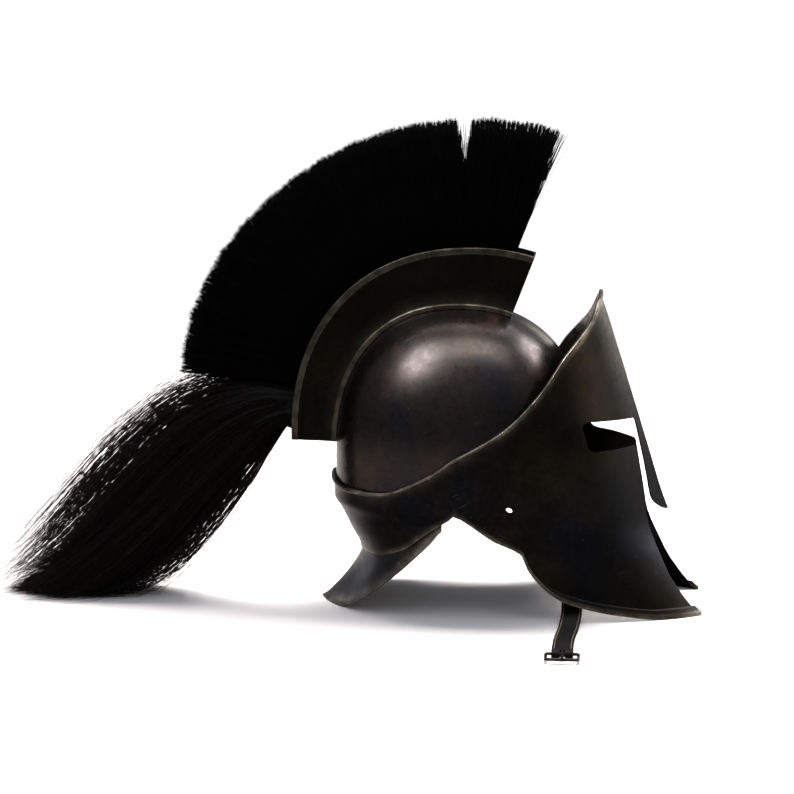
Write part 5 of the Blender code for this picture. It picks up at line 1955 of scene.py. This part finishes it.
    def buckle_path(self) -> list[Vector]:
        """Path of the buckle half, folded back under itself round the buckle's bar."""
        bar = self.bar
        wrap = self.wire + self.bar_fit + self.thick / 2
        out = bar.x
        path = self.upper_path()
        for degrees in range(106, -91, -14):
            angle = math.radians(degrees)
            path.append(bar + Vector((math.cos(angle), math.sin(angle))) * wrap)
        return path + [Vector((out - self.fold * share, self.thick / 2)) for share in (0.25, 0.5, 0.75, 1.0)]

    def right_half(self) -> bpy.types.Mesh:
        """Buckle half with its fold and the slot of the prong."""
        bar = self.bar
        reach = self.wire + PLATES.gap + self.prong * 2 + PLATES.gap
        slot = bmesh.new()
        bmesh.ops.create_cube(slot, size=1.0)
        bmesh.ops.scale(slot, vec=(self.prong * 5, reach * 2.6, reach * 4), verts=slot.verts)
        bmesh.ops.translate(slot, vec=(self.ahead - self.drift, -bar.x, bar.y), verts=slot.verts)
        return cut_out(self.band(self.buckle_path(), Side.RIGHT, False), [slot, self.stud_hole(Side.RIGHT)])

    def frame_ring(self) -> Body:
        """Rectangular wire frame whose near bar lies in the strap's fold."""
        bar = self.bar
        half = self.buckle_width / 2 - self.wire
        near, far = bar.x, bar.x + self.buckle_length
        corners = ((-half, near, 0.003), (half, near, 0.003), (half, far, 0.003), (-half, far, 0.003))
        points = [Vector((self.ahead - self.drift + p.x, -p.y, bar.y)) for p in rounded(corners, 10)]
        return self.wire_ring(points, self.wire, 16, True)

    def prong_wire(self) -> Body:
        """Prong hooked round the buckle's bar and resting on its far side."""
        bar, ahead = self.bar, self.ahead - self.drift
        reach = self.wire + PLATES.gap + self.prong
        points = []
        for degrees in range(-200, 91, 10):
            angle = math.radians(degrees)
            turn = Vector((math.cos(angle), math.sin(angle))) * reach
            points.append(Vector((ahead, -(bar.x - turn.x), bar.y + turn.y)))
        for share in spread(9, 0.15, 1.12):
            points.append(Vector((ahead, -(bar.x + self.buckle_length * share), bar.y + reach)))
        return self.wire_ring(points, self.prong, 12, False)

    def stud(self, side: Side) -> Body:
        """Domed stud that goes through the strap to the cheek guard, spun from its profile."""
        near = self.line - self.thick / 2 - PLATES.gap
        wall = PLATES.wall_at(self.ahead, self.stud_height, 2 * PLATES.gap)
        head, thick = self.stud_head, self.stud_head_thick
        profile = [(0.0, near - thick)]
        for angle in spread(7, 0.25, math.pi / 2):
            profile.append((head * math.sin(angle), near - thick * (0.35 + 0.65 * math.cos(angle))))
        profile += [(head, near), (self.stud_radius, near), (self.stud_radius, wall), (0.0, wall)]
        bm = bmesh.new()
        verts = [bm.verts.new((radius, y, 0.0)) for radius, y in profile]
        edges = [bm.edges.new(pair) for pair in zip(verts, verts[1:])]
        turn = {"cent": (0, 0, 0), "axis": (0, 1, 0), "angle": 2 * math.pi, "steps": 32, "use_merge": True}
        bmesh.ops.spin(bm, geom=verts + edges, **turn)
        bmesh.ops.remove_doubles(bm, verts=bm.verts, dist=MERGE)
        bmesh.ops.translate(bm, verts=bm.verts, vec=(self.ahead, 0.0, self.stud_height))
        if side is Side.RIGHT:
            bmesh.ops.scale(bm, vec=(1, -1, 1), verts=bm.verts)
        bmesh.ops.recalc_face_normals(bm, faces=bm.faces)
        return bm

    def set_out(self) -> None:
        """Builds and dresses the strap, its stitches, its buckle and its studs."""
        hide, linen, steel = self.hide.material(), self.linen.material(), self.steel.material()
        set_out("chin_strap_left", self.left_half(), hide, Slot.STRAP_LEATHER, ("strap_left",))
        set_out("chin_strap_right", self.right_half(), hide, Slot.STRAP_LEATHER, ("strap_right",))
        left = self.stitches(self.path(self.reach), Side.LEFT, 4 * MM, 12 * MM)
        set_out("stitches_left", left, linen, Slot.STRAP_LEATHER)
        right = self.stitches(self.upper_path(), Side.RIGHT, 4 * MM, 3 * MM)
        set_out("stitches_right", right, linen, Slot.STRAP_LEATHER)
        metal = (
            ("buckle_wire_frame", self.frame_ring(), "buckle_frame"),
            ("buckle_wire_prong", self.prong_wire(), "buckle_prong"),
            ("domed_stud_left", self.stud(Side.LEFT), "strap_stud_left"),
            ("domed_stud_right", self.stud(Side.RIGHT), "strap_stud_right"),
        )
        for name, shape, node in metal:
            set_out(name, shape, steel, Slot.BUCKLE_STEEL, (node,))


@dataclass(frozen=True)
class SoftBox:
    """A soft light: where it hangs and what it faces, in the helmet's coordinates."""

    name: str
    place: tuple[float, float, float]
    target: tuple[float, float, float]
    size: tuple[float, float]
    glow: float  # radiance
    tint: str
    lit: Lit

    def set_out(self) -> None:
        """Hangs the light."""
        light = bpy.data.lights.new(self.name, "AREA")
        light.shape, light.size, light.size_y = "RECTANGLE", *self.size
        light.energy = self.glow * math.pi * self.size[0] * self.size[1]
        light.color = linear(self.tint)[:3]
        lamp = bpy.data.objects.new(self.name, light)
        way = Vector(self.target) - Vector(self.place)
        lamp.location = Vector(self.place) + Vector((SHIFT, 0.0, 0.0))
        lamp.rotation_euler = way.to_track_quat("-Z", "Y").to_euler()
        lamp.visible_diffuse = self.lit is Lit.FLOOR
        lamp.visible_glossy = self.lit is Lit.METAL
        bpy.context.collection.objects.link(lamp)


@dataclass(frozen=True)
class Studio:
    """Camera, white floor and soft lights."""

    azimuth: float = 5.0
    elevation: float = 9.4
    distance: float = 2.5
    lens_pixels: float = 2500.0
    aim: tuple[float, float, float] = (-0.065, 0.0, 0.204)
    image: float = 794.0
    floor_radius: float = 1.5
    lights: tuple[SoftBox, ...] = (
        SoftBox("window_left", (-1.00, -1.21, 1.96), (-0.04, -0.07, 0.25), (0.80, 1.00), 37.0, "#f8f6ff", Lit.METAL),
        SoftBox("window_right", (1.62, 0.45, 1.50), (0.08, -0.04, 0.26), (1.00, 1.25), 30.0, "#f8f6ff", Lit.METAL),
        SoftBox("overhead_front", (0.05, -0.95, 2.35), (0.02, -0.06, 0.26), (2.10, 0.80), 11.0, "#fff8f4", Lit.METAL),
        SoftBox("overhead_back", (0.00, 0.80, 2.45), (0.00, 0.00, 0.10), (2.00, 1.10), 10.0, "#fff8f4", Lit.METAL),
        SoftBox("side_right", (2.20, -0.25, 0.55), (0.16, -0.04, 0.25), (1.30, 0.90), 3.0, "#ffeed8", Lit.METAL),
        SoftBox("sweep_right", (1.35, 1.75, 0.75), (0.16, 0.00, 0.20), (1.60, 1.00), 2.2, "#fff4e8", Lit.METAL),
        SoftBox("side_left", (-2.10, 0.85, 0.35), (-0.11, -0.05, 0.17), (0.35, 0.90), 17.0, "#eef2ff", Lit.METAL),
        SoftBox("floor_key", (0.02, 0.80, 2.50), (0.05, -0.15, 0.00), (1.90, 1.30), 24.0, "#fff7f4", Lit.FLOOR),
    )

    def set_camera(self) -> None:
        """Places the camera at the photograph's angle."""
        a, e = math.radians(self.azimuth), math.radians(self.elevation)
        back = Vector((math.sin(a) * math.cos(e), -math.cos(a) * math.cos(e), math.sin(e)))
        camera = bpy.data.cameras.new("camera")
        camera.sensor_width = 36.0
        camera.lens = 36.0 * self.lens_pixels / self.image
        holder = bpy.data.objects.new("camera", camera)
        holder.location = Vector(self.aim) + Vector((SHIFT, 0.0, 0.0)) + back * self.distance
        holder.rotation_euler = back.to_track_quat("Z", "Y").to_euler()
        bpy.context.collection.objects.link(holder)
        bpy.context.scene.camera = holder

    def set_floor(self) -> None:
        """Lays the floor under the helmet."""
        bm = bmesh.new()
        bmesh.ops.create_circle(bm, cap_ends=True, segments=96, radius=self.floor_radius)
        mesh = bpy.data.meshes.new("studio_floor")
        bm.to_mesh(mesh)
        bm.free()
        mesh.materials.append(StudioPaper().material())
        floor = bpy.data.objects.new("studio_floor", mesh)
        bpy.context.collection.objects.link(floor)
        floor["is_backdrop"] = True

    def set_world(self) -> None:
        """Lights the room softly from above, dim towards the horizon, with a white backdrop."""
        world = bpy.data.worlds.new("studio")
        world.use_nodes = True
        tree = world.node_tree
        tree.nodes.clear()
        way = add_node(tree, "TexCoord", {}).outputs["Generated"]
        height = add_node(tree, "SeparateXYZ", {0: way}).outputs[2]
        glow = add_node(tree, "MapRange", {0: height, 1: 0.30, 2: 0.90, 3: 0.20, 4: 0.80}).outputs[0]
        room = add_node(tree, "Background", {"Color": "#f6f7ff", "Strength": glow}).outputs[0]
        backdrop = add_node(tree, "Background", {"Color": (1, 1, 1, 1), "Strength": 1.1}).outputs[0]
        seen = add_node(tree, "LightPath", {}).outputs["Is Camera Ray"]
        both = add_node(tree, "MixShader", {0: seen, 1: room, 2: backdrop}).outputs[0]
        add_node(tree, "OutputWorld", {"Surface": both})
        bpy.context.scene.world = world

    def set_out(self) -> None:
        """Sets up the whole studio."""
        self.set_camera()
        self.set_floor()
        self.set_world()
        for light in self.lights:
            light.set_out()
        bpy.context.scene.view_settings.view_transform = "Standard"


def note_sizes() -> None:
    """Gathers the frame's box and the dressed model's box as plain lists."""
    boxes = {"cad": CAD_BOX, "visual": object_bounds()}
    plain = {name: [[float(value) for value in corner] for corner in box] for name, box in boxes.items()}


def main() -> None:
    """Builds the studio and the helmet in order."""
    logging.basicConfig(level=logging.INFO, format="%(message)s")
    Studio().set_out()
    box = CrestBox()
    for part in (Bowl(), FaceShell(), NeckGuard(), box, CrestBrush(box), CrestTail(box), ChinStrap()):
        part.set_out()
    note_sizes()


if __name__ == "__main__":
    main()
